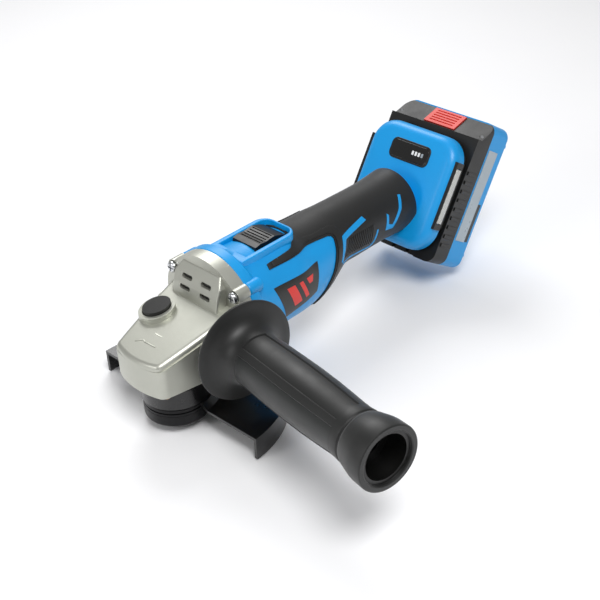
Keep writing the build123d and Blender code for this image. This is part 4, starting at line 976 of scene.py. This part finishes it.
# ---- Battery pack --------------------------------------------------------------------------
@dataclass
class PackDress:
    """Ribs and label parts laid on the battery pack, in the foot's frame.

    Attributes:
        half: Half the pack's width.
        rib_count: Ribs on each side of the black shell.
        rib_start: Where the ribs begin along the pack.
        rib_pitch: Their spacing.
        rib_width: Their width.
        rib_u: Their front and back.
        rib_stand: How far they go in and stand out.
        film_in: How far the label parts go into the pack's side.
        labels: Name, ends along the pack, front and back, stand and finish of each label part.
    """

    half: float = 37.5
    rib_count: int = 9
    rib_start: float = -18.0
    rib_pitch: float = 6.4
    rib_width: float = 2.6
    rib_u: Point = (19.5, 30.5)
    rib_stand: Point = (0.6, 0.7)
    film_in: float = 0.2
    labels: tuple = (
        ("dark", (-10.5, 17.0), (37.0, 50.5), 0.16, Surface.LABEL_BLACK),
        ("bar", (-8.0, 12.5), (41.0, 46.0), 0.24, Surface.INK_RED),
        ("line", (20.0, 51.0), (46.6, 47.8), 0.24, Surface.BLUE_ABS),
    )

    def slab(self, name: str, side: int, w: Point, u: Point, stand: Point,
             corner: float) -> bpy.types.Object:
        """A thin block on one side of the pack.

        Args:
            name: The piece's name.
            side: 1 for +Y, -1 for -Y.
            w: Its two ends along the pack.
            u: Its front and back.
            stand: How far it goes into the pack's side and how far it stands out.
            corner: Radius of its upright corners, less on a thin slab.

        Returns:
            The block.
        """
        near, far = self.half - stand[0], self.half + stand[1]
        inner, outer = sorted((side * near, side * far))
        piece = rounded_block(name, (inner, w[0], u[0]), (outer, w[1], u[1]),
                              min(corner, (far - near) * 0.4), 0.0, 0.0, segments=2)
        to_foot(piece)
        return piece

    def build(self) -> None:
        """Lays the ribs and label parts on both sides."""
        body = "battery_pack"
        for side, word in ((1, "left"), (-1, "right")):
            for i in range(self.rib_count):
                w = self.rib_start + self.rib_pitch * i
                rib = self.slab(f"pack_rib_{word}_{i + 1}", side, (w, w + self.rib_width),
                                self.rib_u, self.rib_stand, corner=0.4)
                Bench.finish(rib, Surface.BLACK_NYLON, body, "black_plastic")
            for part, w, u, stand, surface in self.labels:
                film = self.slab(f"pack_label_{part}_{word}", side, w, u,
                                 (self.film_in, stand), corner=0.05)
                Bench.finish(film, surface, body, "label_film")
        log.info("pack: %d ribs and %d label parts a side", self.rib_count, len(self.labels))


# ---- Gear head -----------------------------------------------------------------------------
@dataclass
class HeadDress:
    """Black plates of painted shade behind the air slots, and the raised arrow on the gear head.

    Attributes:
        slots: Centre of each slot on the +Y side.
        shade_plate_half: Half the width of each black plate of painted shade.
        shade_plate_thick: Its thickness.
        shade_plate_z: How far it reaches below and above the slot's centre.
        arrow: Bars of the arrow, each from one point to another.
        bar_width: Width and height of a bar.
        bar_over: How much longer a bar is than the distance between its points.
        bar_sink: How far it is let into the top face.
        bar_soft: Radius of its edges.
    """

    slots: tuple = ((26.2, 8.1, 78.0), (24.0, 8.6, 71.4))
    shade_plate_half: float = 5.2
    shade_plate_thick: float = 1.6
    shade_plate_z: Point = (3.6, 1.6)
    arrow: tuple = (((-15.3, 3.2, 54.9), (-14.9, -5.1, 55.0)),
                    ((-14.6, 5.4, 55.0), (-17.6, 9.2, 54.2)),
                    ((-15.3, 3.2, 54.9), (-14.6, 5.4, 55.0)))
    bar_width: float = 0.9
    bar_over: float = 0.6
    bar_sink: float = 0.15
    bar_soft: float = 0.3

    def shade_plate(self, index: int, slot: Corner, side: int) -> bpy.types.Object:
        """The black plate of painted shade behind one slot.

        Args:
            index: Its number.
            slot: The slot's centre on the +Y side.
            side: 1 for +Y, -1 for -Y.

        Returns:
            The plate.
        """
        x, y, z = slot
        below, above = self.shade_plate_z
        return rounded_block(f"slot_painted_shade_{index}", (x, side * y - self.shade_plate_half, z - below),
                             (x + self.shade_plate_thick, side * y + self.shade_plate_half, z + above),
                             corner=0.4, rim_low=0.2, rim_high=0.2, segments=2)

    def bar(self, name: str, first: Corner, last: Corner) -> bpy.types.Object:
        """A low raised bar between two points on the top face.

        Args:
            name: The piece's name.
            first: One end, in millimetres.
            last: The other end.

        Returns:
            The bar.
        """
        start, end = Vector(first) * MM, Vector(last) * MM
        along = end - start
        piece = box(name, (along.length + self.bar_over * MM, self.bar_width * MM,
                           self.bar_width * MM), (0, 0, 0))
        add_modifier(piece, "BEVEL", width=self.bar_soft * MM, segments=2)
        piece.rotation_mode = "QUATERNION"
        piece.rotation_quaternion = along.to_track_quat("X", "Z")
        piece.location = (start + end) / 2 - Vector((0, 0, self.bar_sink * MM))
        return piece

    def build(self) -> None:
        """Builds the black plates of painted shade and the arrow."""
        places = [(slot, side) for slot in self.slots for side in (-1, 1)]
        # Black plates of painted shade stand in the air slots so that the slots read dark.
        for index, (slot, side) in enumerate(places, 1):
            Bench.finish(self.shade_plate(index, slot, side), Surface.BLACK_TPE, "tool_body",
                         "black_soft_skin")
        for index, (first, last) in enumerate(self.arrow, 1):
            Bench.finish(self.bar(f"arrow_bar_{index}", first, last), Surface.CAST_ALUMINIUM,
                         "tool_body", "cast_aluminium")
        log.info("gear head: %d shade_plates, %d arrow bars", len(places), len(self.arrow))


# ---- Side handle ---------------------------------------------------------------------------
@dataclass
class SideHandle:
    """The screw-in side handle's rubber grip, turned in one piece with its flange.

    Attributes:
        start: Point where its axis meets the tool's centre plane.
        lean: Forward lean in degrees.
        rise: Upward lean in degrees.
        panels: Turn, half width in degrees, depth, and whether it is a smooth inlay.
        panel_ends: Where the panels begin and end along the axis.
        panel_step: Spacing of the rings of faces between them.
        panel_rim: Width of a panel's sloping edge.
        solid_r: Faces nearer the axis than this belong to the mouth.
        sides: Facets round the grip.
        smooth_deg: Edges sharper than this stay sharp.
        profile: Distance along the axis and radius, from the flange to the mouth's floor.
    """

    start: Corner = (26.5, 0.0, 50.5)
    lean: float = 9.5
    rise: float = 1.9
    panels: tuple = ((92, 38, 0.6, True), (-92, 38, 0.6, True), (8, 30, 0.9, False),
                     (180, 30, 0.9, False))
    panel_ends: tuple[int, int] = (58, 142)
    panel_step: int = 4
    panel_rim: float = 0.5
    solid_r: float = 12.0
    sides: int = 96
    smooth_deg: float = 30.0
    profile: tuple = (
        (41.2, 11.2), (41.4, 14.0), (41.9, 22.0), (42.9, 29.6), (43.6, 31.0), (44.4, 31.4),
        (45.2, 31.2), (45.6, 30.2), (45.9, 27.5), (46.8, 24.0), (48.6, 20.6), (51.5, 18.1),
        (55.5, 16.9), (60.0, 16.7), (70.0, 17.0), (85.0, 17.3), (100.0, 17.4), (115.0, 17.1),
        (128.0, 16.5), (138.0, 15.9), (144.0, 15.8), (147.6, 16.2), (148.4, 16.0), (149.0, 15.4),
        (149.8, 15.4), (150.4, 16.2), (152.0, 16.9), (156.0, 17.9), (160.0, 18.9), (163.0, 19.3),
        (170.2, 19.5), (171.0, 19.3), (171.4, 18.7), (171.4, 16.4), (170.9, 15.8), (170.0, 15.6),
        (160.0, 14.4), (153.4, 13.9), (152.9, 13.0), (152.8, 6.0),
    )

    def axis(self) -> Vector:
        """Direction of the handle."""
        lean, rise = math.radians(self.lean), math.radians(self.rise)
        return Vector((-math.sin(lean) * math.cos(rise), -math.cos(lean) * math.cos(rise),
                       math.sin(rise)))

    def place(self, piece: bpy.types.Object) -> None:
        """Moves a piece drawn along +Z, its +X side up, onto the handle's axis."""
        out = self.axis()
        up = (Vector((0, 0, 1)) - out * out.z).normalized()
        turn = Matrix((up, out.cross(up), out)).transposed().to_4x4()
        piece.data.transform(Matrix.Translation(Vector(self.start) * MM) @ turn)

    def select_panel(self, turn: float, half: float) -> int:
        """Selects the faces of one panel.

        Args:
            turn: Direction of its middle in degrees, from the grip's upper side.
            half: Half its width in degrees.

        Returns:
            How many faces are selected.
        """
        first, last = self.panel_ends
        middle, wide = math.radians(turn), math.radians(half)
        full, opposite = 2 * math.pi, math.pi

        def on_panel(c: Vector, _: Vector) -> bool:
            """Whether a face lies on this panel."""
            away = abs((math.atan2(c.y, c.x) - middle + opposite) % full - opposite)
            return first < c.z < last and math.hypot(c.x, c.y) > self.solid_r and away < wide

        return Bench.faces(on_panel)

    def build(self) -> None:
        """Turns the grip, then presses the panels into it."""
        stations = [(along, 0.0, radius) for along, radius in self.profile]
        grip = tube("handle_grip_turned", stations, self.sides)
        Bench.take(grip)
        Bench.edit()
        first, last = self.panel_ends
        for along in range(first, last + self.panel_step, self.panel_step):
            bpy.ops.mesh.select_all(action="SELECT")
            bpy.ops.mesh.bisect(plane_co=(0, 0, along * MM), plane_no=(0, 0, 1))
        for surface in (Surface.HANDLE_RUBBER, Surface.HANDLE_PANEL):
            grip.data.materials.append(surface.value.build())
        for turn, half, depth, smooth in self.panels:
            if self.select_panel(turn, half):
                bpy.ops.mesh.inset(thickness=self.panel_rim * MM)
                bpy.ops.transform.shrink_fatten(value=-depth * MM)
                if smooth:
                    grip.active_material_index = 1
                    bpy.ops.object.material_slot_assign()
        Bench.done()
        self.place(grip)
        Bench.finish(grip, Surface.HANDLE_RUBBER, "side_handle", "handle_rubber",
                     math.radians(self.smooth_deg))
        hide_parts("handle_grip")
        log.info("side handle: grip with %d panels", len(self.panels))


# ---- Studio --------------------------------------------------------------------------------
@dataclass
class Studio:
    """Floor, lights and camera.

    Attributes:
        camera_mm: Where the camera stands.
        camera_deg: Its turn about X, Y and Z.
        lens_mm: Its focal length.
        sensor_mm: Width of the sensor.
        clip_m: Nearest and farthest distance that the camera draws.
        floor_z_mm: Height of the floor.
        floor_m: Length and width of the floor.
        aim_mm: Point that every light faces.
        room: Brightness of the room.
        lights: Name, place in millimetres, diameter in millimetres and power of each light.
    """

    camera_mm: Corner = (-337.3, -454.4, 445.7)
    camera_deg: Corner = (56.309, 2.552, -46.138)
    lens_mm: float = 70.41
    sensor_mm: float = 36.0
    clip_m: Point = (0.01, 20.0)
    floor_z_mm: float = -6.0
    floor_m: float = 8.0
    aim_mm: Corner = (90.0, -20.0, 40.0)
    room: float = 0.36
    lights: tuple[tuple[str, Corner, float, float], ...] = (
        ("Key", (-150.0, -500.0, 900.0), 450.0, 7.0),
        ("Fill", (-900.0, 200.0, 500.0), 400.0, 2.2),
        ("Back", (500.0, 600.0, 800.0), 600.0, 5.0),
    )

    def add_floor(self) -> None:
        """Lays a wide pale sheet under the tool."""
        bpy.ops.mesh.primitive_grid_add(x_subdivisions=8, y_subdivisions=8, size=self.floor_m)
        floor = bpy.context.object
        floor.name = "Floor"
        floor.data.transform(Matrix.Translation((0, 0, self.floor_z_mm * MM)))
        dress(floor, Surface.STUDIO_PAPER)

    def add_lights(self) -> None:
        """Hangs the soft boxes and lights the room."""
        for name, place, size, power in self.lights:
            lamp = bpy.data.lights.new(name, "AREA")
            lamp.shape = "DISK"
            lamp.size = size * MM
            lamp.energy = power
            holder = bpy.data.objects.new(name, lamp)
            holder.location = Vector(place) * MM
            aim = Vector(self.aim_mm) * MM - holder.location
            holder.rotation_euler = aim.to_track_quat("-Z", "Y").to_euler()
            bpy.context.scene.collection.objects.link(holder)
        world = bpy.data.worlds.new("Room")
        world.use_nodes = True
        glow = world.node_tree.nodes["Background"]
        glow.inputs["Color"].default_value = linear("FFFFFF")
        glow.inputs["Strength"].default_value = self.room
        bpy.context.scene.world = world

    def add_camera(self) -> None:
        """Sets up the camera."""
        data = bpy.data.cameras.new("Camera")
        data.lens = self.lens_mm
        data.sensor_width = self.sensor_mm
        data.clip_start, data.clip_end = self.clip_m
        camera = bpy.data.objects.new("Camera", data)
        camera.location = Vector(self.camera_mm) * MM
        camera.rotation_euler = [math.radians(a) for a in self.camera_deg]
        bpy.context.scene.collection.objects.link(camera)
        bpy.context.scene.camera = camera

    def build(self) -> None:
        """Builds the whole studio."""
        self.add_floor()
        self.add_lights()
        self.add_camera()
        bpy.context.scene.view_settings.view_transform = "Standard"


def main() -> None:
    """Builds the looks in order."""
    dress_frame()
    Barrel().build()
    Foot().build()
    PackDress().build()
    HeadDress().build()
    SideHandle().build()
    Studio().build()


if __name__ == "__main__":
    main()
